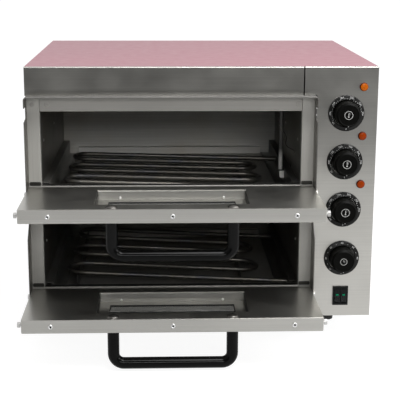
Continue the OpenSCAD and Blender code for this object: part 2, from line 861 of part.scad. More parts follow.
module thermostats() {
    w = thermostat_w / 2;
    y1 = body_y0 + thermostat_t;
    color("gainsboro") for (i = thermostat_ids) difference() {
        union() {
            block([dial_x - w, body_y0, dial_z(i) - w], [dial_x + w, y1, dial_z(i) + w]);
            rod_y(dial_x, sheet_t, body_y0, dial_z(i), boss_r);
            for (x = [w / 3, 2 * w / 3])
                block([dial_x + x, y1, dial_z(i) - tab_w / 2], [dial_x + x + tab_t, y1 + tab_l, dial_z(i) + tab_w / 2]);
        }
        body_bore(i);
    }
}

module timer_body() {
    color("gainsboro") difference() {
        union() {
            rod_y(dial_x, body_y0, body_y0 + timer_l, dial_z(timer_id), timer_r);
            rod_y(dial_x, sheet_t, body_y0, dial_z(timer_id), boss_r);
        }
        body_bore(timer_id);
    }
}

// Shaft of dial i, from its body through the panel into the grip
module shaft(i) {
    color("silver") rod_y(dial_x, -dial_gap - grip_bore, body_y0 + shaft_in, dial_z(i), shaft_r);
}

// Turned dial i: a grip with a slight taper, a bevel and a dished face
module dial(i) {
    bore_r = shaft_r + hole_gap;
    bore_h = grip_bore + hole_gap;
    h = grip_h - dial_gap;
    face_r = grip_r - grip_taper - grip_bevel;
    color(black) translate([dial_x, -dial_gap, dial_z(i)]) rotate([90, 0, 0]) rotate_extrude() polygon([
        [bore_r, 0], [grip_r - grip_edge, 0], [grip_r, grip_edge], [grip_r - grip_taper, h - grip_bevel],
        [face_r, h], [face_r - grip_edge, h - grip_dish], [0, h - grip_dish], [0, bore_h], [bore_r, bore_h]
    ]);
}

// Fixed rings round the dials, with a sloping face for the scales
module dial_scales() {
    bore_r = grip_r + ring_gap;
    color(black) for (i = concat(thermostat_ids, timer_id)) translate([dial_x, 0, dial_z(i)])
        rotate([90, 0, 0]) rotate_extrude() polygon([
            [bore_r, 0], [scale_r, 0], [scale_r, scale_rim - grip_edge], [scale_r - grip_edge, scale_rim],
            [bore_r + grip_edge, scale_h], [bore_r, scale_h - grip_edge]
        ]);
}

module pilot_lamps() {
    color("darkorange") for (i = thermostat_ids) translate([lamp_x, 0, dial_z(i) + lamp_rise])
        rotate([90, 0, 0]) rotate_extrude() polygon([
            [0, -lamp_body_l], [lamp_body_r, -lamp_body_l], [lamp_body_r, 0], [lamp_flange_r, 0],
            [lamp_flange_r, lamp_flange_h / 2], [lamp_flange_r - lamp_flange_h / 2, lamp_flange_h],
            [lamp_r, lamp_flange_h], [lamp_r * 0.75, lamp_flange_h + lamp_dome_h * 0.8],
            [lamp_r * 0.4, lamp_flange_h + lamp_dome_h], [0, lamp_flange_h + lamp_dome_h]
        ]);
}

// Body of the switch between two depths, grown all round by extra
module switch_block(extra, y0, y1) {
    w = switch_body_w / 2 + extra;
    h = switch_body_h / 2 + extra;
    block([dial_x - w, y0, switch_z - h], [dial_x + w, y1, switch_z + h]);
}

module switch_housing() {
    color(black) difference() {
        union() {
            block(
                [dial_x - switch_w / 2, -switch_lip, switch_z - switch_h / 2],
                [dial_x + switch_w / 2, 0, switch_z + switch_h / 2]
            );
            switch_block(0, 0, switch_l);
        }
        for (s = [-1, 1]) {
            x = dial_x + s * rocker_x;
            block(
                [x - pocket_w / 2, -switch_lip - cut, switch_z - pocket_h / 2],
                [x + pocket_w / 2, pocket_d, switch_z + pocket_h / 2]
            );
            rod_x(
                x - rocker_w / 2 - rocker_pin_l - run_gap, x + rocker_w / 2 + rocker_pin_l + run_gap,
                rocker_axis_y, switch_z, rocker_pin_r + run_gap
            );
        }
    }
}

// Rocker with a hollow face, tipped to one end of its swing
module rocker(side) {
    rise = rocker_half * tan(rocker_swing / 2);
    color(black) translate([dial_x + side * rocker_x, rocker_axis_y, switch_z]) rotate([-rocker_swing / 2, 0, 0]) {
        rotate([90, 0, 90]) translate([0, 0, -rocker_w / 2]) linear_extrude(rocker_w) polygon([
            [-rocker_face, 0], [-rocker_face - rise, rocker_half], [-rocker_face + 3, rocker_half],
            [rocker_back, 3], [rocker_back, -3], [-rocker_face + 3, -rocker_half], [-rocker_face - rise, -rocker_half]
        ]);
        rod_x(-rocker_w / 2 - rocker_pin_l, rocker_w / 2 + rocker_pin_l, 0, 0, rocker_pin_r);
    }
}

module terminal_block() {
    x0 = dial_x - block_w / 2;
    y0 = back_y - 3 * block_d;
    color("ivory") difference() {
        block([x0, y0, sheet_t], [x0 + block_w, y0 + block_d, sheet_t + block_h]);
        for (i = [0:2])
            rod_y(x0 + block_w * (i + 0.5) / 3, y0 - cut, y0 + block_d + cut, sheet_t + block_h / 2, 3);
    }
}

module cable_gland() {
    color(black) difference() {
        union() {
            translate([dial_x, body_d + gland_hex_l, gland_z]) rotate([90, 0, 0])
                cylinder(h = gland_hex_l, r = gland_r, $fn = 6);
            translate([dial_x, back_y, gland_z]) rotate([90, 0, 0]) cylinder(h = gland_nut_l, r = gland_r, $fn = 6);
            rod_y(dial_x, back_y - gland_nut_l, body_d + gland_out, gland_z, gland_thread_r);
        }
        rod_y(dial_x, back_y - gland_nut_l - cut, body_d + gland_out + cut, gland_z, gland_bore_r);
    }
}

// Fasteners of the casing

module casing_screws() {
    color("silver") {
        for (sx = [-1, 1], z = back_screw_zs) translate([sx * back_screw_x, body_d, z]) facing_back() screw();
        for (y = side_screw_ys) {
            translate([-half_w, y, side_screw_z]) facing_left() screw();
            translate([half_w, y, side_screw_z]) facing_right() screw();
        }
        for (x = concat(lintel_screw_xs, stile_screw_x))
            translate([x, recess_y, frame_screw_z]) facing_front() screw(head_h = screw_head_h / 2);
        for (sx = [-1, 1], y = foot_ys) translate([sx * foot_x, y, foot_recess_h - foot_h])
            facing_down() screw(len = foot_h - foot_recess_h + sheet_t);
    }
}

module hinge_screws() {
    color("silver") for (k = decks) {
        translate([hood_x0, hinge_y, hinge_z(k)]) facing_left() hex_screw(0, hinge_shank, hinge_r);
        translate([hood_x1, hinge_y, hinge_z(k)]) facing_right() hex_screw(0, hinge_shank, hinge_r);
    }
}

// Hexagon screw pointing down: shank below z = 0, round collar, then the head
module hex_screw(collar, shank, r) {
    translate([0, 0, -shank]) cylinder(h = shank + collar, r = r);
    translate([0, 0, collar]) cylinder(h = hex_l, r = hex_r, $fn = 6);
}

// Doors, drawn open: the inner face is on top, level with the sill

module at_deck(k) {
    translate([0, 0, sill_z(k)]) children();
}

module handle_bores(z0, z1) {
    for (s = [-1, 1]) rod_z(door_mid + s * handle_span / 2, handle_y, z0, z1, bolt_r + hole_gap);
}

module edge_bores() {
    for (s = [-1:1])
        rod_y(door_mid + s * edge_pitch, door_front - cut, door_front + 2 * sheet_t + cut, -door_t / 2, screw_r + hole_gap);
}

// Opening of the given size in the middle of the window, between two heights
module window_opening(w, h, z0, z1) {
    block([door_mid - w / 2, window_mid - h / 2, z0], [door_mid + w / 2, window_mid + h / 2, z1]);
}

module door_shell(k) {
    skin = -door_t + sheet_t;
    color(steel) at_deck(k) difference() {
        block([door_x0, door_front, -door_t], [door_x1, door_back, 0]);
        block([door_x0 + sheet_t, door_front + sheet_t, skin], [door_x1 - sheet_t, door_back - sheet_t, cut]);
        window_opening(glass_w - skin_margin, glass_h - skin_margin, -door_t - cut, skin + cut);
        handle_bores(-door_t - cut, skin + cut);
        edge_bores();
        rod_x(door_x0 - cut, door_x1 + cut, hinge_y, -door_t / 2, hinge_r + run_gap);
        rod_x(door_x0 - cut, door_x1 + cut, latch_y, -door_t / 2, screw_r + hole_gap);
    }
}

module inner_panel(k) {
    x0 = door_x0 + sheet_t;
    x1 = door_x1 - sheet_t;
    y0 = door_front + sheet_t;
    color(steel) at_deck(k) difference() {
        union() {
            block([x0, y0, -sheet_t], [x1, door_back - sheet_t, 0]);
            block([x0, y0, -inner_fold], [x1, y0 + sheet_t, -sheet_t]);
        }
        window_opening(window_w, window_h, -sheet_t - cut, cut);
        handle_bores(-sheet_t - cut, cut);
        edge_bores();
    }
}

// Sunken frame that lines the cut-out and presses the glass onto the outer skin
module window_frame(k) {
    w = window_w - 2 * side_gap;
    h = window_h - 2 * side_gap;
    color(steel) at_deck(k) difference() {
        union() {
            window_opening(w + 2 * window_lip, h + 2 * window_lip, -2 * sheet_t, -sheet_t);
            window_opening(w, h, -tray_floor - sheet_t, -sheet_t);
        }
        window_opening(w - 2 * sheet_t, h - 2 * sheet_t, -tray_floor, cut);
        window_opening(glass_w, glass_h, -tray_floor - sheet_t - cut, 0);
        window_screws(hole_gap);
    }
}

module glass(k) {
    color([0.75, 0.8, 0.8, 0.4]) at_deck(k)
        window_opening(glass_w + 2 * glass_lap, glass_h + 2 * glass_lap, -door_t + sheet_t, -door_t + sheet_t + glass_t);
}

// Two small screws in the wall of the window frame nearest the hinge
module window_screws(extra) {
    r = screw_r * 0.75;
    for (s = [-1, 1]) translate([door_mid + s * window_w * 0.35, window_y1 - side_gap - sheet_t, 1.5 * screw_r - tray_floor])
        facing_front() {
            translate([0, 0, -4]) cylinder(h = 4 + extra, r = r + extra);
            if (extra == 0) cylinder(h = 1.5, r = 1.6 * r);
        }
}

// Bent tube handle: two legs, two quarter bends and a grip along x
module handle(k) {
    drop = -door_t - handle_reach + handle_r;
    leg_end = drop + handle_bend;
    bar = handle_span / 2 - handle_bend;
    color(black) at_deck(k) difference() {
        translate([door_mid, handle_y, 0]) {
            for (s = [-1, 1]) rod_z(s * handle_span / 2, 0, leg_end, -door_t, handle_r);
            rod_x(-bar, bar, 0, drop, handle_r);
            for (s = [0, 1]) mirror([s, 0, 0]) translate([bar, 0, leg_end]) rotate([-90, 0, 0])
                rotate_extrude(angle = 90) translate([handle_bend, 0]) circle(r = handle_r);
        }
        handle_bores(leg_end, -door_t + cut);
    }
}

module door_screws(k) {
    color("silver") at_deck(k) {
        for (s = [-1, 1]) translate([door_mid + s * handle_span / 2, handle_y, 0])
            screw(door_t + handle_reach / 4, bolt_r, bolt_head_r, bolt_head_h);
        for (s = [-1:1]) translate([door_mid + s * edge_pitch, door_front, -door_t / 2]) facing_front() screw();
        window_screws(0);
    }
}

module latch_pins(k) {
    color("silver") at_deck(k) {
        translate([door_x0, latch_y, -door_t / 2]) facing_left() hex_screw(latch_collar, screw_l, screw_r);
        translate([door_x1, latch_y, -door_t / 2]) facing_right() hex_screw(latch_collar, screw_l, screw_r);
    }
}

place() base_pan();
place() feet();
place() left_side_panel();
place() right_side_panel();
place() top_panel();
place() back_panel();
place() front_fascia();
place() control_panel();
place() door_hood();
place() left_stile();
place() right_stile();
place() lintel();
place() middle_rail();
place() bottom_rail();
place() liner(upper);  // upper_liner
place() liner(lower);  // lower_liner
place() insulation();
place() partition();
place() shelf_rails(upper);  // upper_shelf_rails
place() shelf_rails(lower);  // lower_shelf_rails
place() ceiling_element(upper);  // upper_ceiling_element
place() floor_element(upper);  // upper_floor_element
place() ceiling_element(lower);  // lower_ceiling_element
place() floor_element(lower);  // lower_floor_element
place() element_beads();
place() element_carriers();
place() thermostats();
place() timer_body();
place() sensor_bulbs();
place() pilot_lamps();
place() dial_scales();
place() switch_housing();
place() terminal_block();
place() cable_gland();
place() casing_screws();
place() hinge_screws();
place() dial(0);  // top_dial
place() dial(1);  // middle_dial
place() dial(2);  // bottom_dial
place() dial(timer_id);  // timer_dial
place() shaft(0);  // top_shaft
place() shaft(1);  // middle_shaft
place() shaft(2);  // bottom_shaft
place() shaft(timer_id);  // timer_shaft
place() rocker(-1);  // left_rocker
place() rocker(1);  // right_rocker
place() door_shell(upper);  // upper_door_shell
place() inner_panel(upper);  // upper_inner_panel
place() window_frame(upper);  // upper_window_frame
place() glass(upper);  // upper_glass
place() handle(upper);  // upper_handle
place() door_screws(upper);  // upper_door_screws
place() latch_pins(upper);  // upper_latch_pins
place() door_shell(lower);  // lower_door_shell
place() inner_panel(lower);  // lower_inner_panel
place() window_frame(lower);  // lower_window_frame
place() glass(lower);  // lower_glass
place() handle(lower);  // lower_handle
place() door_screws(lower);  // lower_door_screws
place() latch_pins(lower);  // lower_latch_pins
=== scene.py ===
"""Looks of the double-deck pizza oven: materials, softened bends, printed scales, lamps and fittings."""
import json
import math

import bmesh
import bpy
from mathutils import Matrix, Vector, noise


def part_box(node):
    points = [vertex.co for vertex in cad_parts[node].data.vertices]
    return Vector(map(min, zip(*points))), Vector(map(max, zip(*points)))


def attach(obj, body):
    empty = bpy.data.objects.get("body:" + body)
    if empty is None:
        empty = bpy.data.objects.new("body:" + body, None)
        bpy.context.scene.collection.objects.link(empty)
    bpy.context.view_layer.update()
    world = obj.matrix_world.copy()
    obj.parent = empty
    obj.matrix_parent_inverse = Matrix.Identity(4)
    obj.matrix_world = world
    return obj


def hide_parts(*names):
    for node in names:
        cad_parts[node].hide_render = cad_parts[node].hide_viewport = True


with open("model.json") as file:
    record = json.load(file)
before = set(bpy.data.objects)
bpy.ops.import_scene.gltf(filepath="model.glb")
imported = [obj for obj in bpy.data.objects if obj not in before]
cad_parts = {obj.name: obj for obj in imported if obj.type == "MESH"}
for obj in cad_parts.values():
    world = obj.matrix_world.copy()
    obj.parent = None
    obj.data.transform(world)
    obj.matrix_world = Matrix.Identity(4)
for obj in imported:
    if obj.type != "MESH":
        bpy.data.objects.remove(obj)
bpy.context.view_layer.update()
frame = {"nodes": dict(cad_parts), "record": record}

RECORD = frame["record"]
NODES = frame["nodes"]
BODY_OF = {node: body for body, nodes in RECORD["behaviour"]["bodies"].items() for node in nodes}
DECKS = ("upper", "lower")


# Sizes and places of the drawing, in millimetres

ORIGIN_Y, FOOT_H = 168.9, 37.0
DOOR_MID, DOOR_FRONT, DOOR_T = -48.75, -152.0, 21.4
SILL_Z = {"upper": 220.5, "lower": 49.5}
WINDOW_BACK, WINDOW_MID, WINDOW_SINK = -21.3, -70.0, 15.4
DIAL_X = 230.0
DIAL_Z = {"top": 340, "middle": 261, "bottom": 182, "timer": 100}


def at(x, y, z):
    """The drawing's point, counted from the front panel and the casing's underside, in the frame's metres."""
    return Vector((x, y - ORIGIN_Y, z + FOOT_H)) / 1000


# Camera, at the photograph's place

PHOTO_PX, FOCAL_PX, SENSOR = 400, 1081.84, 36
CAMERA_PLACE = (-64.19, -1702.6, 600.3)
YAW, PITCH, ROLL = math.radians(2.057), math.radians(13.261), math.radians(-0.166)


def make_camera():
    forward = Vector((math.sin(YAW) * math.cos(PITCH), math.cos(YAW) * math.cos(PITCH), -math.sin(PITCH)))
    right = Vector((math.cos(YAW), -math.sin(YAW), 0))
    down = forward.cross(right)
    side = right * math.cos(ROLL) + down * math.sin(ROLL)
    under = down * math.cos(ROLL) - right * math.sin(ROLL)
    data = bpy.data.cameras.new("camera")
    data.sensor_width = SENSOR
    data.lens = SENSOR * FOCAL_PX / PHOTO_PX
    data.clip_end = 100
    camera = bpy.data.objects.new("camera", data)
    bpy.context.scene.collection.objects.link(camera)
    turn = Matrix((side, -under, -forward)).transposed().to_4x4()
    camera.matrix_world = Matrix.Translation(at(*CAMERA_PLACE)) @ turn
    bpy.context.scene.camera = camera


make_camera()


# Shader nodes

class Shader:
    """Short calls for the nodes of a material or a world."""

    def __init__(self, tree, coord):
        self.tree = tree
        self.coord = tree.nodes.new("ShaderNodeTexCoord").outputs[coord]

    def put(self, value, socket):
        """Link a node's output to a socket, or set the socket to a constant."""
        if isinstance(value, bpy.types.NodeSocket):
            self.tree.links.new(value, socket)
        else:
            socket.default_value = value

    def node(self, kind, inputs=(), **settings):
        node = self.tree.nodes.new(kind)
        for key, value in settings.items():
            setattr(node, key, value)
        for key, value in dict(inputs).items():
            self.put(value, node.inputs[key])
        return node

    def axes(self):
        return self.node("ShaderNodeSeparateXYZ", {0: self.coord}).outputs

    def noise(self, scale, detail=3.0, rough=0.55, stretch=None):
        vector = self.coord
        if stretch:
            vector = self.node("ShaderNodeMapping", {"Vector": vector, "Scale": stretch}).outputs[0]
        inputs = {"Vector": vector, "Scale": scale, "Detail": detail, "Roughness": rough}
        return self.node("ShaderNodeTexNoise", inputs).outputs["Fac"]

    def ramp(self, value, stops):
        """A colour for each value, from stops of (value, colour)."""
        node = self.node("ShaderNodeValToRGB", {"Fac": value})
        elements = node.color_ramp.elements
        while len(elements) < len(stops):
            elements.new(0.5)
        for element, (position, color) in zip(elements, stops):
            element.position = position
            element.color = (*color, 1)
        return node.outputs["Color"]

    def span(self, value, low, high, start=0.3, end=0.7):
        """low to high as the value goes from start to end."""
        inputs = {"Value": value, "From Min": start, "From Max": end, "To Min": low, "To Max": high}
        return self.node("ShaderNodeMapRange", inputs).outputs["Result"]

    def mix(self, share, first, second, mode="MIX"):
        """Two colours mixed; one that isn't a node's output is three numbers."""
        node = self.node("ShaderNodeMix", data_type="RGBA", blend_type=mode)
        self.put(share, node.inputs[0])
        for color, socket in ((first, node.inputs[6]), (second, node.inputs[7])):
            self.put(color if isinstance(color, bpy.types.NodeSocket) else (*color, 1), socket)
        return node.outputs[2]

    def combine(self, operation, first, second):
        return self.node("ShaderNodeMath", {0: first, 1: second}, operation=operation).outputs[0]

    def seen_directly(self, path):
        """1 for what the camera sees directly or through glass."""
        return self.combine("MAXIMUM", path.outputs["Is Camera Ray"], path.outputs["Is Transmission Ray"])


class Mat(Shader):
    """A material, with calls for its principled shader."""

    def __init__(self, name):
        self.mat = bpy.data.materials.new(name)
        self.mat.use_nodes = True
        super().__init__(self.mat.node_tree, "Object")
        self.bsdf = self.tree.nodes["Principled BSDF"]

    def set(self, **values):
        for key, value in values.items():
            self.put(value, self.bsdf.inputs[key.replace("_", " ")])

    def bump(self, height, strength, distance):
        node = self.node("ShaderNodeBump", {"Height": height, "Strength": strength, "Distance": distance})
        self.set(Normal=node.outputs[0])


def shade(color, factor):
    return tuple(min(1.0, value * factor) for value in color)


def tinted(color, factors):
    return tuple(value * factor for value, factor in zip(color, factors))


def grey(value):
    return (value,) * 3


def greys(stops):
    return [(position, grey(value)) for position, value in stops]


# Kinds of material

GRAIN = {"x": (5, 650, 650), "z": (650, 650, 5)}
CHAMBER_GRAIN = (5, 420, 420)
WOOL_STRANDS = (90, 900, 500)
HEAT_STAIN = (0.92, 0.84, 0.7)
BROWN_TINT, BLUE_TINT = (1.1, 1.04, 0.95), (0.8, 0.85, 1.0)
DUST_METALLIC = 0.25


def brushed(name, color, rough, along="x", metallic=0.86, drawn=0.0, dust=False):
    """Sheet steel ground in one direction: fine streaks in colour and height, clouds in colour and gloss.

    drawn stretches its gloss one way, and dust strews dull specks on it.
    """
    m = Mat(name)
    streaks = m.noise(1.0, detail=2.0, rough=0.5, stretch=GRAIN[along])
    lined = m.ramp(streaks, [(0.25, shade(color, 0.95)), (0.75, shade(color, 1.05))])
    clouds = m.ramp(m.noise(9.0, detail=2.0, rough=0.5), greys([(0.3, 0.95), (0.7, 1.0)]))
    gloss = m.noise(14.0, detail=4.0, rough=0.6)
    m.set(Base_Color=m.mix(1.0, lined, clouds, "MULTIPLY"), Metallic=metallic, Anisotropic=drawn,
          Roughness=m.span(gloss, rough - 0.04, rough + 0.05))
    if dust:
        specks = m.noise(430.0, detail=1.0, rough=0.5)
        m.set(Metallic=m.span(specks, metallic, DUST_METALLIC, start=0.73, end=0.78))
    m.bump(streaks, strength=0.04, distance=0.00006)
    return m.mat


def painted(name, color, rough):
    """Satin enamel on sheet: a fine orange peel under a coat, with slight clouds in colour and gloss."""
    m = Mat(name)
    clouds = m.noise(7.0, detail=3.0, rough=0.55)
    m.set(Base_Color=m.ramp(clouds, [(0.25, shade(color, 0.975)), (0.75, shade(color, 1.02))]),
          Roughness=m.span(m.noise(60.0, detail=3.0), rough - 0.04, rough + 0.05),
          Coat_Weight=0.45, Coat_Roughness=0.42)
    m.bump(m.noise(900.0, detail=2.0, rough=0.5), strength=0.03, distance=0.0001)
    return m.mat


def zinc(name, color, rough):
    """Zinc-coated sheet with its flaky spangle."""
    m = Mat(name)
    cells = m.node("ShaderNodeTexVoronoi", {"Vector": m.coord, "Scale": 110.0}).outputs["Color"]
    flakes = m.node("ShaderNodeRGBToBW", {"Color": cells}).outputs[0]
    m.set(Base_Color=m.ramp(flakes, [(0.1, shade(color, 0.86)), (0.9, shade(color, 1.08))]), Metallic=1.0,
          Roughness=m.span(flakes, rough - 0.06, rough + 0.1, start=0.1, end=0.9))
    m.bump(m.noise(260.0, detail=2.0), strength=0.05, distance=0.0003)
    return m.mat


def chamber(name, color, rough, streak=0.12, metallic=1.0):
    """Dull chamber steel, with heat stains in broad cloudy patches over its faint grain."""
    m = Mat(name)
    grain = m.noise(1.0, detail=4.0, rough=0.6, stretch=CHAMBER_GRAIN)
    stain = m.noise(6.5, detail=5.0, rough=0.6)
    lined = m.ramp(grain, [(0.25, shade(color, 1 - streak)), (0.75, shade(color, 1 + streak))])
    share = m.span(stain, 0.0, 0.7, start=0.45, end=0.75)
    m.set(Base_Color=m.mix(share, lined, tinted(color, HEAT_STAIN)), Metallic=metallic,
          Roughness=m.span(stain, rough - 0.07, rough + 0.09))
    m.bump(grain, strength=0.1, distance=0.0001)
    return m.mat


def heated(name, color, rough):
    """Sheathed heating tube: dark oxide with a brown and blue heat tint and a fine grit."""
    m = Mat(name)
    stops = [(0.3, color), (0.5, tinted(color, BROWN_TINT)), (0.68, tinted(color, BLUE_TINT))]
    m.set(Base_Color=m.ramp(m.noise(16.0, detail=4.0, rough=0.6), stops), Metallic=0.85,
          Roughness=m.span(m.noise(20.0, detail=3.0), rough - 0.05, rough + 0.05))
    m.bump(m.noise(400.0, detail=2.0), strength=0.05, distance=0.00003)
    return m.mat


def moulded(name, color, rough, grit=1400.0, depth=0.12, spec=0.5):
    """Black moulding or rubber with a fine spark-eroded texture and a faint bloom."""
    m = Mat(name)
    bloom = m.noise(35.0, detail=4.0, rough=0.6)
    m.set(Base_Color=m.ramp(bloom, [(0.3, shade(color, 0.8)), (0.7, shade(color, 1.3))]),
          Roughness=m.span(m.noise(220.0, detail=3.0), rough - 0.05, rough + 0.06),
          Specular_IOR_Level=spec)
    m.bump(m.noise(grit, detail=2.0), strength=depth, distance=0.00025)
    return m.mat


def bright(name, color, rough, tint=None, metallic=1.0):
    """Plated fastener or drawn tube with tiny marks; tint is the band of height over which it turns dark,
    staying dark above it.
    """
    m = Mat(name)
    marks = m.noise(700.0, detail=3.0, rough=0.6)
    plated = m.ramp(marks, [(0.3, shade(color, 0.85)), (0.7, shade(color, 1.08))])
    if tint:
        plated = m.mix(m.span(m.axes()["Z"], 0.0, 1.0, *tint), plated, shade(color, 0.12))
    m.set(Base_Color=plated, Metallic=metallic,
          Roughness=m.span(m.noise(150.0, detail=2.0), rough - 0.05, rough + 0.08))
    m.bump(marks, strength=0.06, distance=0.0002)
    return m.mat


def ceramic(name, color):
    """Glazed ceramic with fine specks."""
    m = Mat(name)
    specks = m.noise(420.0, detail=3.0, rough=0.6)
    m.set(Base_Color=m.ramp(specks, [(0.3, shade(color, 0.86)), (0.6, color)]),
          Roughness=m.span(specks, 0.3, 0.42))
    m.bump(m.noise(160.0, detail=2.0), strength=0.08, distance=0.0003)
    return m.mat


def mineral_wool(name, color):
    """Loose mineral wool: lying strands in tufts."""
    m = Mat(name)
    tufts = m.noise(70.0, detail=5.0, rough=0.65)
    strands = m.noise(1.0, detail=6.0, rough=0.7, stretch=WOOL_STRANDS)
    lying = m.ramp(strands, [(0.3, shade(color, 0.6)), (0.7, shade(color, 1.25))])
    tufted = m.ramp(tufts, [(0.3, shade(color, 0.7)), (0.7, color)])
    m.set(Base_Color=m.mix(0.5, lying, tufted), Roughness=0.95, Sheen_Weight=0.3)
    m.bump(tufts, strength=0.6, distance=0.002)
    return m.mat


def pane(name, color, film):
    """Smoked toughened window glass, with a thin film that cleaning leaves."""
    m = Mat(name)
    haze = m.noise(55.0, detail=4.0, rough=0.6)
    m.set(Base_Color=m.ramp(haze, [(0.35, color), (0.7, film)]),
          Transmission_Weight=0.78, Roughness=0.0, IOR=1.5)
    return m.mat


def lens(name, color, glow):
    """Coloured lamp lens: faintly ribbed plastic with an even glow."""
    m = Mat(name)
    ribs = m.noise(600.0, detail=2.0)
    m.set(Base_Color=m.ramp(ribs, [(0.3, shade(color, 0.82)), (0.7, color)]),
          Roughness=m.span(ribs, 0.14, 0.26),
          Emission_Color=(*color, 1), Emission_Strength=glow, Specular_IOR_Level=0.1)
    m.bump(ribs, strength=0.08, distance=0.0003)
    return m.mat


def ink(name, color):
    """Printing ink, a little worn."""
    m = Mat(name)
    wear = m.noise(900.0, detail=3.0)
    m.set(Base_Color=m.ramp(wear, [(0.3, shade(color, 0.82)), (0.6, color)]),
          Roughness=m.span(wear, 0.45, 0.6))
    return m.mat


# Materials

front_steel = brushed("front_steel", (0.6, 0.59, 0.555), rough=0.335, metallic=1.0, drawn=0.68)
# A darker copy of front_steel for the same stainless: painted shade on the fascia
fascia_steel = brushed("fascia_steel", (0.53, 0.52, 0.487), rough=0.335, metallic=1.0, drawn=0.68)
hood_steel = brushed("hood_steel", (0.13, 0.127, 0.12), rough=0.48, metallic=0.3, drawn=0.4)
# Painted shade on the hood flanges' sideways faces, in a darker steel
flange_shade_steel = brushed("flange_shade_steel", (0.2, 0.19, 0.17), rough=0.4, along="z")
upright_steel = brushed("upright_steel", (0.42, 0.412, 0.385), rough=0.38, along="z", metallic=0.15)
frame_steel = brushed("frame_steel", (0.37, 0.36, 0.337), rough=0.42, metallic=0.4)
# Painted shade: a near-black sheet that darkens gaps, screw sockets and recesses, and the folds that lie in
# shade
painted_shade_steel = brushed("painted_shade_steel", (0.05, 0.049, 0.045), rough=0.45)
door_steel = brushed("door_steel", (0.53, 0.522, 0.492), rough=0.335, metallic=0.9)
tray_steel = brushed("tray_steel", (0.54, 0.53, 0.497), rough=0.33, metallic=1.0, dust=True)
# The recess walls are the inner panel's steel painted darker as shade in the recess; on the lower door darker
# still, as painted shade from the upper door above it
recess_shade_steel = {
    "upper": brushed("upper_recess_steel", (0.34, 0.334, 0.312), rough=0.335, metallic=0.5, drawn=0.75),
    "lower": brushed("lower_recess_steel", (0.3, 0.295, 0.275), rough=0.335, metallic=0.5, drawn=0.75),
}
# Back-wall steel of the chambers; the lower copy is painted darker, as painted shade from the upper door
# above it
back_wall_steel = {
    "upper": chamber("chamber_steel", (0.55, 0.545, 0.515), rough=0.42, metallic=0.4),
    "lower": chamber("lower_back_wall_shade", (0.3, 0.295, 0.27), rough=0.42, metallic=0.4),
}
# wall_steel and floor_steel are darker copies of the liner steel: painted shade on the chambers' side walls,
# ceilings and floors
wall_steel = chamber("wall_steel", (0.25, 0.244, 0.224), rough=0.42)
floor_steel = chamber("floor_steel", (0.3, 0.295, 0.277), rough=0.45, metallic=0.5)
rail_steel = chamber("rail_steel", (0.17, 0.167, 0.156), rough=0.42, metallic=0.5)
# Dark steel for the element carriers and the bulb clip; on the right shelf rail it is painted shade
soot_and_shade_steel = chamber("soot_and_shade_steel", (0.075, 0.073, 0.069), rough=0.45, metallic=0.5)
# A pale copy of the rail steel: painted light on the rear rail's broad faces and on the bulb clip's tongue
painted_light_steel = chamber("painted_light_steel", (0.72, 0.71, 0.675), rough=0.4, streak=0.05, metallic=0.1)
element_steel = heated("element_steel", (0.14, 0.138, 0.131), rough=0.35)
sensor_steel = bright("sensor_steel", (0.92, 0.9, 0.87), rough=0.36, tint=(0.276, 0.293), metallic=0.2)
screw_steel = bright("screw_steel", (0.72, 0.715, 0.7), rough=0.34)
rivet_steel = bright("rivet_steel", (0.95, 0.945, 0.93), rough=0.34)
bolt_steel = bright("bolt_steel", (0.15, 0.144, 0.134), rough=0.36)
rose_paint = painted("rose_paint", (0.275, 0.083, 0.113), rough=0.42)
zinc_sheet = zinc("zinc_sheet", (0.5, 0.5, 0.49), rough=0.42)
dial_black = moulded("dial_black", (0.002, 0.002, 0.0016), rough=0.42, spec=0.06)
ring_black = moulded("ring_black", (0.004, 0.004, 0.0035), rough=0.34, depth=0.03, spec=0.27)
handle_black = moulded("handle_black", (0.0015, 0.0015, 0.0015), rough=0.15, depth=0.001, spec=0.14)
switch_black = moulded("switch_black", (0.004, 0.005, 0.005), rough=0.38, spec=0.16)
rubber_black = moulded("rubber_black", (0.012, 0.012, 0.012), rough=0.7, grit=900.0, depth=0.3)
glazed = ceramic("glazed", (0.78, 0.73, 0.62))
wool = mineral_wool("wool", (0.6, 0.52, 0.33))
window_glass = pane("window_glass", (0.1, 0.105, 0.103), film=(0.135, 0.14, 0.138))
lamp_lit = lens("lamp_lit", (0.34, 0.072, 0.002), glow=0.32)
lamp_dim = lens("lamp_dim", (0.215, 0.026, 0.0005), glow=0.2)
lamp_rim = lens("lamp_rim", (0.07, 0.01, 0.003), glow=0.02)
green_lens = lens("green_lens", (0.0, 0.16, 0.075), glow=0.25)
white_ink = ink("white_ink", (0.5, 0.5, 0.49))
grey_ink = ink("grey_ink", (0.42, 0.42, 0.41))


# Materials on the solids that stay

def dress(material, *names):
    for name in names:
        data = NODES[name].data
        data.materials.clear()
        data.materials.append(material)


dress(zinc_sheet, "partition", "thermostats", "timer_body")
dress(soot_and_shade_steel, "element_carriers")
dress(sensor_steel, "sensor_bulbs")
dress(screw_steel, "hinge_screws")
dress(ring_black, "dial_scales")
dress(switch_black, "switch_housing", "left_rocker", "right_rocker", "cable_gland")
dress(glazed, "element_beads", "terminal_block")
dress(rubber_black, "feet")
for deck in DECKS:
    dress(element_steel, deck + "_ceiling_element", deck + "_floor_element")
    dress(handle_black, deck + "_handle")
    dress(window_glass, deck + "_glass")
    dress(screw_steel, deck + "_latch_pins")
for dial in DIAL_Z:
    dress(dial_black, dial + "_dial")
    dress(screw_steel, dial + "_shaft")


# Building pieces

SAME_POINT = 2e-6
FLAT_ANGLE, BEND_ANGLE = math.radians(0.5), math.radians(40)
BEND_LENGTH, BEND_WIDTH, LEVEL_SLACK = 0.012, 0.0035, 0.002
BEND_STEPS = 3
PRINT_T, CORNER_CUT = 0.05, 0.22
TO_FRONT, TO_TOP = (0, -1, 0), (0, 0, 1)
FACING_FRONT = Matrix(((1, 0, 0), (0, 0, -1), (0, 1, 0))).to_4x4()
QUARTER = math.radians(90)


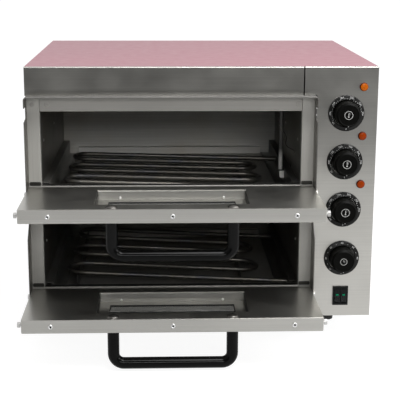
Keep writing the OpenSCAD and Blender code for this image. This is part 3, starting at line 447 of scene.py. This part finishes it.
def add_piece(name, bm, materials, body, smooth=34, weighted=True):
    """Turn a bmesh, in metres in the shared frame, into a named piece on a body."""
    data = bpy.data.meshes.new(name)
    bm.normal_update()
    bm.to_mesh(data)
    bm.free()
    for material in materials if isinstance(materials, list) else [materials]:
        data.materials.append(material)
    data.polygons.foreach_set("use_smooth", [True] * len(data.polygons))
    data.set_sharp_from_angle(angle=math.radians(smooth))
    obj = bpy.data.objects.new(name, data)
    bpy.context.scene.collection.objects.link(obj)
    if weighted:
        modifier = obj.modifiers.new("even_normals", "WEIGHTED_NORMAL")
        modifier.keep_sharp = True
        modifier.weight = 100
    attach(obj, body)
    return obj


def plane_at(place, across, up, out):
    """A matrix for a plane at a place in metres, from the ways that its axes look."""
    return Matrix.Translation(place) @ Matrix((across, up, out)).transposed().to_4x4()


def node_mesh(node):
    bm = bmesh.new()
    bm.from_mesh(NODES[node].data)
    bmesh.ops.remove_doubles(bm, verts=bm.verts, dist=SAME_POINT)
    return bm


def face_width(face):
    return face.calc_area() / max(edge.calc_length() for edge in face.edges)


def is_bend(edge, level):
    """Whether an edge is a long outer bend of a sheet and, with level, runs level."""
    if len(edge.link_faces) != 2 or edge.calc_length() < BEND_LENGTH or not edge.is_convex:
        return False
    if edge.calc_face_angle(0) < BEND_ANGLE:
        return False
    if level and abs(edge.verts[0].co.z - edge.verts[1].co.z) > LEVEL_SLACK:
        return False
    return min(face_width(face) for face in edge.link_faces) > BEND_WIDTH


def fold(node, materials, radius=1.3, pick=None, level=False):
    """Stand in for a bent-sheet node, with its long outer bends rounded as a press brake leaves them.

    A radius of 0 leaves them sharp, and with level only bends that run level are rounded.
    pick gives the number of a face's material.
    """
    bm = node_mesh(node)
    bmesh.ops.dissolve_limit(bm, angle_limit=FLAT_ANGLE, verts=bm.verts, edges=bm.edges)
    bends = [edge for edge in bm.edges if is_bend(edge, level)] if radius else []
    if bends:
        bmesh.ops.bevel(bm, geom=bends, offset=radius / 1000, offset_type="OFFSET", segments=BEND_STEPS,
                        profile=0.5, affect="EDGES", clamp_overlap=True)
    for face in bm.faces:
        face.material_index = pick(face) if pick else 0
    piece = add_piece(node + "_folded", bm, materials, BODY_OF[node])
    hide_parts(node)


def ring_of(bm, centre, u, v, radius, count):
    """A ring of points about centre, with its radius in millimetres."""
    angles = [2 * math.pi * i / count for i in range(count)]
    return [bm.verts.new(centre + (u * math.cos(a) + v * math.sin(a)) * (radius / 1000)) for a in angles]


def lathe(bm, centre, axis, profile, count=32, index=0):
    """Turn a profile of (radius, height) in millimetres about an axis through centre."""
    axis = Vector(axis).normalized()
    u = axis.orthogonal().normalized()
    v = axis.cross(u)
    rows = []
    for radius, height in profile:
        middle = Vector(centre) + axis * (height / 1000)
        rows.append(ring_of(bm, middle, u, v, radius, count) if radius else [bm.verts.new(middle)])
    for a, b in zip(rows, rows[1:]):
        for i in range(count):
            j = (i + 1) % count
            corners = [a[i % len(a)], a[j % len(a)], b[j % len(b)], b[i % len(b)]]
            corners = [corner for k, corner in enumerate(corners) if corner not in corners[:k]]
            if len(corners) > 2:
                bm.faces.new(corners).material_index = index
    bmesh.ops.recalc_face_normals(bm, faces=bm.faces)


def tube(bm, points, radius, count):
    """A round wire along points in metres, with its radius in millimetres."""
    rows = []
    u = None
    for i, point in enumerate(points):
        way = (points[min(i + 1, len(points) - 1)] - points[max(i - 1, 0)]).normalized()
        u = way.orthogonal().normalized() if u is None else (u - way * u.dot(way)).normalized()
        rows.append(ring_of(bm, point, u, way.cross(u), radius, count))
    for a, b in zip(rows, rows[1:]):
        for i in range(count):
            j = (i + 1) % count
            bm.faces.new((a[i], a[j], b[j], b[i]))
    bm.faces.new(list(reversed(rows[0])))
    bm.faces.new(rows[-1])


def lettering(bm, text, size, place):
    """Raised print of a number, set square in the plane of a matrix."""
    curve = bpy.data.curves.new("lettering", "FONT")
    curve.body = text
    curve.size = size / 1000
    curve.extrude = PRINT_T / 1000
    curve.align_x = "CENTER"
    curve.align_y = "CENTER"
    curve.resolution_u = 3
    obj = bpy.data.objects.new("lettering", curve)
    bpy.context.scene.collection.objects.link(obj)
    data = bpy.data.meshes.new_from_object(obj.evaluated_get(bpy.context.evaluated_depsgraph_get()))
    bpy.data.objects.remove(obj)
    bpy.data.curves.remove(curve)
    data.transform(place)
    bm.from_mesh(data)
    bpy.data.meshes.remove(data)


def bar(bm, place, width, height, thick=PRINT_T, index=0):
    """A flat bar with cut corners in the plane of a matrix, in millimetres, and as thick to either side."""
    cut = CORNER_CUT * min(width, height)
    x, y = width / 2, height / 2
    outline = [(cut - x, -y), (x - cut, -y), (x, cut - y), (x, y - cut),
               (x - cut, y), (cut - x, y), (-x, y - cut), (-x, cut - y)]
    low = [bm.verts.new(place @ (Vector((*point, -thick)) / 1000)) for point in outline]
    top = [bm.verts.new(place @ (Vector((*point, thick)) / 1000)) for point in outline]
    bm.faces.new(top).material_index = index
    for i in range(len(outline)):
        j = (i + 1) % len(outline)
        bm.faces.new((low[i], low[j], top[j], top[i])).material_index = index


# Bent sheets

STEEP, LEVEL = 0.7, 0.95
FLANGE_TOP = at(0, 0, 366).z
MOUTH_FOLD, FRAME_SCREW_END = at(0, 14, 0).y, at(0, 24, 0).y
REAR_RAIL_REACH, REAR_RAIL_FACE = 0.15, 2e-3


def inside_flange(face):
    """1 for the faces of the hood's flanges that look sideways, which get painted shade, 0 for the rest of
    it.
    """
    return 1 if abs(face.normal.x) > STEEP and face.calc_center_median().z < FLANGE_TOP else 0


def window_wall(face):
    """1 for the ends of a window recess, painted near-black as shade, 2 for its walls along the door, painted
    darker as shade, 0 for the rest.
    """
    if abs(face.normal.x) > STEEP:
        return 1
    return 2 if abs(face.normal.y) > STEEP else 0


def mouth_edge(face):
    """1 for the folds into a chamber, which lie in its shade and are painted near-black as shade, 0 for the
    rest of a strip.
    """
    return 1 if abs(face.normal.z) > LEVEL and face.calc_center_median().y > MOUTH_FOLD else 0


def chamber_face(face):
    """0 for the back wall of a chamber, 1 for its side walls and ceiling, 2 for its floor: one sheet painted
    lighter at the back and darker elsewhere, as light and shade.
    """
    if face.normal.z > STEEP:
        return 2
    return 0 if abs(face.normal.y) > STEEP else 1


def rail_side(face):
    """0 for the left rail, 1 for the broad faces of the rear one, which get painted light, 2 for the right
    one, which gets painted shade.
    """
    x = face.calc_center_median().x - DOOR_MID / 1000
    if abs(x) < REAR_RAIL_REACH:
        return 1 if face.calc_area() > REAR_RAIL_FACE else 0
    return 2 if x > 0 else 0


def frame_screw(face):
    """1 for the small screws of the front frame, 0 for the other casing screws."""
    return 1 if face.calc_center_median().y < FRAME_SCREW_END else 0


fold("front_fascia", fascia_steel, radius=1.8, level=True)
fold("control_panel", front_steel, radius=1.8, level=True)
fold("door_hood", [hood_steel, flange_shade_steel], radius=1.5, pick=inside_flange, level=True)
for name in ("left_stile", "right_stile"):
    fold(name, upright_steel)
for name in ("lintel", "middle_rail", "bottom_rail"):
    fold(name, [frame_steel, painted_shade_steel], pick=mouth_edge)
for deck in DECKS:
    fold(deck + "_door_shell", door_steel, radius=1.6)
    fold(deck + "_inner_panel", tray_steel, radius=1.2)
    fold(deck + "_window_frame", [tray_steel, painted_shade_steel, recess_shade_steel[deck]], radius=1.0, pick=window_wall)
    fold(deck + "_liner", [back_wall_steel[deck], wall_steel, floor_steel], radius=0, pick=chamber_face)
for name in ("top_panel", "left_side_panel", "right_side_panel"):
    fold(name, rose_paint, radius=0.8)
for name in ("base_pan", "back_panel"):
    fold(name, zinc_sheet)
for deck in DECKS:
    fold(deck + "_shelf_rails", [rail_steel, painted_light_steel, soot_and_shade_steel], radius=0.8, pick=rail_side)
fold("casing_screws", [screw_steel, frame_steel], radius=0.3, pick=frame_screw)


# Dials

RING_R, RING_EDGE, RING_RISE, RING_BAND = 28.0, 2.6, 2.2, 5.4
RING_ACROSS, RING_INWARD = 0.926, 0.377
NUMBER_SIZE, NUMBER_R = 4.3, 25.9
TICK, TICK_R = (0.45, 1.6), 23.7
DOT, DOT_R = (0.9, 0.9), 25.0
ZERO, ZERO_R, ZERO_ANGLE = (0.8, 3.4), 25.2, 180
HEAT_START, HEAT_STEP, HEAT_COUNT, HEAT_UNIT = 233, 36.3, 7, 50
TIMER_START, TIMER_STEP, TIMER_COUNT, TIMER_UNIT = 225, 45, 6, 10
GRIP_FACE = -25.4
POINTER, POINTER_T, POINTER_SLOPE = (1.7, 1.7), 0.06, math.radians(45)
POINTER_Y, POINTER_DROP = -24.5, 18
SIGN_RING_W, SIGN_RING_STEPS, SIGN_RING_LAP = 0.9, 40, 1.1
HEAT_SIGN_R, CLOCK_SIGN_R = 6.4, 5.3

# Bars of a sign: x, up, width and height
HEAT_SIGN = [(0, 1.0, 1.0, 6.0), (0, -2.6, 2.2, 2.2)] + [(1.7, up, 1.2, 0.4) for up in (0.6, 2.2, 3.8)]
CLOCK_SIGN = [(0, 1.4, 0.9, 3.4), (1.0, 0, 2.6, 0.9)]


def ring_place(z, degrees, r):
    """A plane on a scale ring's sloping face, by degrees clockwise from the top as seen from the front."""
    angle = math.radians(degrees)
    s, c = math.sin(angle), math.cos(angle)
    radial, back, across = Vector((s, 0, c)), Vector((0, 1, 0)), Vector((c, 0, -s))
    up = radial * RING_ACROSS + back * RING_INWARD
    depth = -RING_EDGE - (RING_R - r) * RING_RISE / RING_BAND
    return plane_at(at(DIAL_X, depth, z) + radial * (r / 1000), across, up, across.cross(up))


def grip_place(z, x=0.0, up=0.0, turn=0.0):
    """A plane on the dished face of a grip, turned clockwise and then moved by x and up."""
    spin = Matrix.Rotation(-turn, 4, "Z")
    shift = Matrix.Translation((x / 1000, up / 1000, 0))
    return Matrix.Translation(at(DIAL_X, GRIP_FACE, z)) @ FACING_FRONT @ spin @ shift


def number_marks(start, step, count, unit):
    """The numbers of a scale with their angles."""
    return [(str(unit * (i + 1)), start + step * i) for i in range(count)]


def print_scale(dial, marks, ticks, dots):
    """Numbers, fine ticks and dots on a scale ring, and its zero mark at the bottom."""
    bm = bmesh.new()
    z = DIAL_Z[dial]
    for text, degrees in marks:
        lettering(bm, text, NUMBER_SIZE, ring_place(z, degrees, NUMBER_R))
    for degrees in ticks:
        bar(bm, ring_place(z, degrees, TICK_R), *TICK)
    for degrees in dots:
        bar(bm, ring_place(z, degrees, DOT_R), *DOT)
    bar(bm, ring_place(z, ZERO_ANGLE, ZERO_R), *ZERO)
    add_piece(dial + "_scale_print", bm, white_ink, "casing", weighted=False)


def mark_grip(dial, sign, radius):
    """The pointer dot on the grip's bevel, and a sign in a ring on its dished face."""
    bm = bmesh.new()
    z = DIAL_Z[dial]
    slope = Matrix.Rotation(POINTER_SLOPE, 4, "X")
    pointer = Matrix.Translation(at(DIAL_X, POINTER_Y, z - POINTER_DROP)) @ slope @ FACING_FRONT
    bar(bm, pointer, *POINTER, POINTER_T)
    length = 2 * radius * math.tan(math.pi / SIGN_RING_STEPS) * SIGN_RING_LAP
    for i in range(SIGN_RING_STEPS):
        turn = 2 * math.pi * i / SIGN_RING_STEPS
        bar(bm, grip_place(z, turn=turn, up=radius), length, SIGN_RING_W)
    for x, up, width, height in sign:
        bar(bm, grip_place(z, x, up), width, height)
    add_piece(dial + "_dial_print", bm, grey_ink, dial + "_dial", weighted=False)


heat_marks = number_marks(HEAT_START, HEAT_STEP, HEAT_COUNT, HEAT_UNIT)
heat_ticks = [degrees + HEAT_STEP * k / 4 for _, degrees in heat_marks[:-1] for k in (1, 2, 3)]
timer_marks = number_marks(TIMER_START, TIMER_STEP, TIMER_COUNT, TIMER_UNIT)
timer_dots = [degrees + TIMER_STEP / 2 for _, degrees in timer_marks[:-1]]
for dial in ("top", "middle", "bottom"):
    print_scale(dial, heat_marks, heat_ticks, [])
    mark_grip(dial, HEAT_SIGN, HEAT_SIGN_R)
print_scale("timer", timer_marks, [], timer_dots)
mark_grip("timer", CLOCK_SIGN, CLOCK_SIGN_R)


# Pilot lamps

LAMP_X = 257
LAMP_CORES = ((382, lamp_lit), (303, lamp_dim), (224, lamp_dim))
LAMP_RIM = [(7.0, 0.0), (7.0, 1.0), (6.8, 1.5), (6.4, 1.7), (6.2, 2.2), (6.1, 3.4), (5.8, 4.0)]
LAMP_LENS = [(5.8, 4.0), (4.7, 4.45), (4.5, 4.33), (3.3, 4.72), (3.1, 4.6), (1.7, 4.92), (0, 5.0)]

for number, (z, core) in enumerate(LAMP_CORES, 1):
    bm = bmesh.new()
    lathe(bm, at(LAMP_X, 0, z), TO_FRONT, LAMP_RIM, index=1)
    lathe(bm, at(LAMP_X, 0, z), TO_FRONT, LAMP_LENS, index=0)
    bmesh.ops.remove_doubles(bm, verts=bm.verts, dist=SAME_POINT)
    lamp = add_piece("pilot_lamp_%d" % number, bm, [core, lamp_rim], "casing", smooth=50)
    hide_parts("pilot_lamps")


# Switch windows

ROCKER_X = {"left": DIAL_X - 5.35, "right": DIAL_X + 5.35}
ROCKER_WINDOW_Z, BEFORE_PANEL = 37.0, -400
WINDOW_RIM, WINDOW_LENS = (5.6, 3.4, 0.35), (4.6, 2.4, 0.6)

for side, x in ROCKER_X.items():
    start = at(x, BEFORE_PANEL, ROCKER_WINDOW_Z)
    _, spot, normal, _ = NODES[side + "_rocker"].ray_cast(start, Vector((0, 1, 0)))
    across = Vector((1, 0, 0))
    plane = plane_at(spot, across, normal.cross(across), normal)
    bm = bmesh.new()
    bar(bm, plane, *WINDOW_RIM, index=1)
    bar(bm, plane, *WINDOW_LENS, index=0)
    add_piece(side + "_rocker_window", bm, [green_lens, switch_black], side + "_rocker")


# Door fasteners and window seals

# The third steel is painted shade: it darkens the edge screws' sockets and stands for the handle screws'
# cross recesses
FASTENER_STEELS = [rivet_steel, bolt_steel, painted_shade_steel, screw_steel]
RIVET, BOLT, PAINTED_SHADE, SCREW = range(len(FASTENER_STEELS))
EDGE_SCREW_X, EDGE_SCREW_SIDES = (-185, 0, 185), 28
EDGE_SCREW = [(3.7, 0), (3.7, 0.7), (3.4, 1.1), (2.6, 1.3), (1.8, 1.25), (1.6, 0.9)]
EDGE_SOCKET = [(1.6, 0.9), (1.5, -1.2), (0, -1.4)]
HANDLE_SCREW_X, HANDLE_SCREW_Y, HANDLE_SCREW_SIDES = (-91, 91), -139, 36
HANDLE_SCREW = [(9.0, 0), (8.9, 0.6), (8.2, 1.5), (6.6, 2.5), (4.4, 3.3), (2.2, 3.8), (0, 4.0)]
CROSS_RISE, CROSS_LENGTH, CROSS_WIDTH, CROSS_T = 3.9, 6.0, 1.44, 0.12
WINDOW_SCREW_X, WINDOW_SCREW_RISE, WINDOW_SCREW_SIDES = (-82.6, 82.6), 3.0, 20
WINDOW_SCREW = [(2.3, 0), (2.2, 0.5), (1.6, 0.9), (0.9, 0.95), (0.7, 0.5), (0, 0.45)]
SEAL_X, SEAL_Y, SEAL_SINK, SEAL_T = 99.4, 30.4, 0.4, 0.6
END_SEAL, LONG_SEAL = (1.4, 62), (200, 1.4)


def fasten_door(deck, sill):
    """Three screws in the front edge, two large ones for the handle, two small ones in the window recess."""
    bm = bmesh.new()
    for x in EDGE_SCREW_X:
        centre = at(DOOR_MID + x, DOOR_FRONT, sill - DOOR_T / 2)
        lathe(bm, centre, TO_FRONT, EDGE_SCREW, EDGE_SCREW_SIDES, RIVET)
        lathe(bm, centre, TO_FRONT, EDGE_SOCKET, EDGE_SCREW_SIDES, PAINTED_SHADE)
    for x in HANDLE_SCREW_X:
        lathe(bm, at(DOOR_MID + x, HANDLE_SCREW_Y, sill), TO_TOP, HANDLE_SCREW, HANDLE_SCREW_SIDES, BOLT)
        cross = Matrix.Translation(at(DOOR_MID + x, HANDLE_SCREW_Y, sill + CROSS_RISE))
        bar(bm, cross, CROSS_LENGTH, CROSS_WIDTH, CROSS_T, PAINTED_SHADE)
        bar(bm, cross, CROSS_WIDTH, CROSS_LENGTH, CROSS_T, PAINTED_SHADE)
    for x in WINDOW_SCREW_X:
        centre = at(DOOR_MID + x, WINDOW_BACK, sill - WINDOW_SINK + WINDOW_SCREW_RISE)
        lathe(bm, centre, TO_FRONT, WINDOW_SCREW, WINDOW_SCREW_SIDES, SCREW)
    screws = add_piece(deck + "_door_fasteners", bm, FASTENER_STEELS, deck + "_door",
                       smooth=60, weighted=False)
    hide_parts(deck + "_door_screws")


def seal_window(deck, sill):
    """A thin seal round the glass, in four strips."""
    bm = bmesh.new()
    z = sill - WINDOW_SINK - SEAL_SINK
    for x in (SEAL_X, -SEAL_X):
        bar(bm, Matrix.Translation(at(DOOR_MID + x, WINDOW_MID, z)), *END_SEAL, SEAL_T)
    for y in (SEAL_Y, -SEAL_Y):
        bar(bm, Matrix.Translation(at(DOOR_MID, WINDOW_MID + y, z)), *LONG_SEAL, SEAL_T)
    add_piece(deck + "_glass_seal", bm, rubber_black, deck + "_door", weighted=False)


for deck, sill in SILL_Z.items():
    fasten_door(deck, sill)
    seal_window(deck, sill)


# Painted shade on the stiles: thin dark patches standing for the gaps through which the door's rear corners
# swing

CORNER_SHADE_X, CORNER_SHADE_Y, CORNER_SHADE_RISE = (-268.8, 171.3), 13, 3.4
CORNER_SHADE = (18.6, 6.2, 0.25)

for deck, sill in SILL_Z.items():
    bm = bmesh.new()
    for x in CORNER_SHADE_X:
        place = Matrix.Translation(at(x, CORNER_SHADE_Y, sill + CORNER_SHADE_RISE))
        bar(bm, place @ Matrix.Rotation(QUARTER, 4, "X"), *CORNER_SHADE)
    add_piece(deck + "_corner_gap_shade", bm, painted_shade_steel, "casing", weighted=False)


# Rivets on the chamber walls

RIVET_Y, RIVET_SIDES = (60, 235, 410), 18
RIVET_Z = {"upper": 287.5, "lower": 116.5}
RIVET_HEAD = [(2.6, 0), (2.5, 0.5), (1.9, 1.1), (1.0, 1.45), (0, 1.55)]
LINER_T = 1.0
LEFT_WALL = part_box("upper_liner")[0][0] * 1000 + LINER_T
RIGHT_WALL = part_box("upper_liner")[1][0] * 1000 - LINER_T

for deck, z in RIVET_Z.items():
    bm = bmesh.new()
    for wall, inward in ((LEFT_WALL, (1, 0, 0)), (RIGHT_WALL, (-1, 0, 0))):
        for y in RIVET_Y:
            lathe(bm, at(wall, y, z), inward, RIVET_HEAD, RIVET_SIDES)
    add_piece(deck + "_wall_rivets", bm, screw_steel, "casing", smooth=60)


# Capillary and clip of the hanging bulb

BULB_X, BULB_Y = 142.8, 147.5
CURL_R, CURL_TOP, CURL_DROP = 5.2, 336, 9.5
CURL_STEP, CURL_STEPS = 0.35, 14
CAPILLARY_END = (160.4, 96, 258)
CAPILLARY_SWAY, CAPILLARY_SAG, CAPILLARY_STEPS = 3.5, 7, 12
CAPILLARY_R, CAPILLARY_SIDES = 1.0, 8
SHELF, SHELF_PLACE = (26, 10), (7.5, 0, 217.6)
TONGUE, TONGUE_PLACE, TONGUE_TILT = (9, 13), (3, -2, 210.5), math.radians(78)
STAY, STAY_PLACE = (10, 10), (17.5, 0, 222)
CLIP_T = 0.6


def curl(angle):
    """A point on the capillary's turn about the bulb, in the drawing's millimetres."""
    x = BULB_X + CURL_R * math.cos(angle)
    y = BULB_Y + CURL_R * math.sin(angle)
    return x, y, CURL_TOP - CURL_DROP * angle


def hang_capillary():
    """The capillary, curled round the bulb on its way to the wall."""
    bm = bmesh.new()
    points = [at(*curl(CURL_STEP * i)) for i in range(CURL_STEPS + 1)]
    last = Vector(curl(CURL_STEP * CURL_STEPS))
    for i in range(1, CAPILLARY_STEPS + 1):
        part = i / CAPILLARY_STEPS
        sway = CAPILLARY_SWAY * math.sin(3 * math.pi * part)
        sag = CAPILLARY_SAG * math.sin(math.pi * part)
        points.append(at(*(last.lerp(Vector(CAPILLARY_END), part) + Vector((sway, 0, -sag)))))
    tube(bm, points, CAPILLARY_R, CAPILLARY_SIDES)
    add_piece("bulb_capillary", bm, element_steel, "casing", smooth=60, weighted=False)


def by_bulb(x, y, z):
    return Matrix.Translation(at(BULB_X + x, BULB_Y + y, z))


def hang_clip():
    """The clip under the bulb: a shelf, a tilted tongue below it and a stay towards the wall."""
    bm = bmesh.new()
    bar(bm, by_bulb(*SHELF_PLACE), *SHELF, CLIP_T, 0)
    # The tongue wears the pale painted-light steel
    bar(bm, by_bulb(*TONGUE_PLACE) @ Matrix.Rotation(TONGUE_TILT, 4, "X"), *TONGUE, CLIP_T, 1)
    bar(bm, by_bulb(*STAY_PLACE) @ Matrix.Rotation(QUARTER, 4, "Y"), *STAY, CLIP_T, 0)
    add_piece("bulb_clip", bm, [soot_and_shade_steel, painted_light_steel], "casing", weighted=False)


hang_capillary()
hang_clip()


# Wool behind the liners

WOOL_EDGE, WOOL_ROUNDS = 0.03, 5
TUFT_DEPTH, TUFT_SCALE = 0.0012, 45


def stuff_wool():
    """Mineral wool for the insulation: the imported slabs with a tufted, sunken face."""
    bm = node_mesh("insulation")
    for _ in range(WOOL_ROUNDS):
        long_edges = [edge for edge in bm.edges if edge.calc_length() > WOOL_EDGE]
        if not long_edges:
            break
        bmesh.ops.subdivide_edges(bm, edges=long_edges, cuts=1, use_grid_fill=False)
        bmesh.ops.triangulate(bm, faces=bm.faces)
    bm.normal_update()
    for vert in bm.verts:
        vert.co -= vert.normal * TUFT_DEPTH * (1 + noise.noise(vert.co * TUFT_SCALE))
    piece = add_piece("wool_packing", bm, wool, "casing", smooth=60, weighted=False)
    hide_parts("insulation")


stuff_wool()


# Studio, in metres and watts

WHITE = (1, 1, 1, 1)
FLOOR_SIZE = 20
PAPER_SHADE, PAPER_GLOW = (0.22, 0.22, 0.22, 1), 0.9
MIRROR_BAND = (-2.4, -0.3)
MIRROR_STOPS = [(0.0, 0.02), (0.2, 0.03), (0.34, 0.14), (0.47, 0.9),
                (0.56, 1.0), (0.72, 1.0), (0.88, 0.92), (1.0, 0.9)]
NEAR_BAND, LEFT_BAND, RIGHT_BAND = (-1.0, -0.65), (0.0, 0.22), (0.1, 0.6)
LEFT_DIM, LEFT_GREY, RIGHT_LIFT = 0.32, 0.2, 0.13
SKY_BAND, SKY_STOPS, SKY_STRENGTH = (-1.0, 0.6), [(0.05, 0.08), (0.8, 1.0)], 0.85

# Place, target, size and power of each lamp
LAMPS = {
    "overhead": ((0.7, -0.7, 1.9), (0.1, -0.1, 0.2), (2.2, 0.7), 44),
    "right": ((1.5, -0.7, 1.0), (0.05, -0.25, 0.25), (0.8, 0.8), 9),
    "front": ((0.25, -2.3, 0.95), (0, 0.1, 0.25), (1.1, 0.3), 9),
}


def floor_paper():
    """Pale paper, white to the camera.

    What gloss mirrors of it is dark far in front and pale nearer by. It is dimmer on the left than on the
    right there.
    """
    m = Mat("floor_paper")
    m.set(Base_Color=m.ramp(m.noise(300.0, detail=3.0), greys([(0.3, 0.78), (0.7, 0.8)])), Roughness=0.9,
          Specular_IOR_Level=0.1)
    place = m.axes()
    fall = m.ramp(m.span(place["Y"], 0.0, 1.0, *MIRROR_BAND), greys(MIRROR_STOPS))
    near = m.span(place["Y"], 0.0, 1.0, *NEAR_BAND)
    left = m.span(place["X"], LEFT_DIM, 0.0, *LEFT_BAND)
    fall = m.mix(m.combine("MULTIPLY", near, left), fall, grey(LEFT_GREY))
    fall = m.mix(m.span(place["X"], 0.0, RIGHT_LIFT, *RIGHT_BAND), fall, grey(1))
    mirrored = m.node("ShaderNodeEmission", {"Color": fall, "Strength": 1.0}).outputs[0]
    paper = m.node("ShaderNodeBsdfDiffuse", {"Color": PAPER_SHADE}).outputs[0]
    glow = m.node("ShaderNodeEmission", {"Color": WHITE, "Strength": PAPER_GLOW}).outputs[0]
    white = m.node("ShaderNodeAddShader", {0: paper, 1: glow}).outputs[0]
    path = m.node("ShaderNodeLightPath")
    glossy = path.outputs["Is Glossy Ray"]
    unseen = m.node("ShaderNodeMixShader", {0: glossy, 1: m.bsdf.outputs[0], 2: mirrored}).outputs[0]
    last = m.node("ShaderNodeMixShader", {0: m.seen_directly(path), 1: unseen, 2: white}).outputs[0]
    m.put(last, m.tree.nodes["Material Output"].inputs["Surface"])
    return m.mat


def make_floor():
    data = bpy.data.meshes.new("floor")
    bm = bmesh.new()
    bmesh.ops.create_grid(bm, x_segments=2, y_segments=2, size=FLOOR_SIZE)
    bm.to_mesh(data)
    bm.free()
    data.materials.append(floor_paper())
    floor = bpy.data.objects.new("floor", data)
    bpy.context.scene.collection.objects.link(floor)


def make_world():
    """Soft light, dim in front and pale behind; white where the camera sees it directly or through glass."""
    world = bpy.data.worlds.new("studio")
    bpy.context.scene.world = world
    world.use_nodes = True
    w = Shader(world.node_tree, "Generated")
    sky = w.tree.nodes["Background"]
    w.put(w.ramp(w.span(w.axes()["Y"], 0.0, 1.0, *SKY_BAND), greys(SKY_STOPS)), sky.inputs["Color"])
    w.put(SKY_STRENGTH, sky.inputs["Strength"])
    white = w.node("ShaderNodeBackground", {"Color": WHITE}).outputs[0]
    seen = w.seen_directly(w.node("ShaderNodeLightPath"))
    last = w.node("ShaderNodeMixShader", {0: seen, 1: sky.outputs[0], 2: white}).outputs[0]
    w.put(last, w.tree.nodes["World Output"].inputs["Surface"])


def make_lamp(name, place, target, size, power):
    """A soft lamp that looks at its target."""
    data = bpy.data.lights.new(name, "AREA")
    data.shape = "RECTANGLE"
    data.size, data.size_y = size
    data.energy = power
    lamp = bpy.data.objects.new(name, data)
    lamp.location = place
    lamp.rotation_euler = (Vector(target) - Vector(place)).to_track_quat("-Z", "Y").to_euler()
    bpy.context.scene.collection.objects.link(lamp)


make_floor()
make_world()
for name, values in LAMPS.items():
    make_lamp(name, *values)

bpy.context.scene.view_settings.view_transform = "Standard"
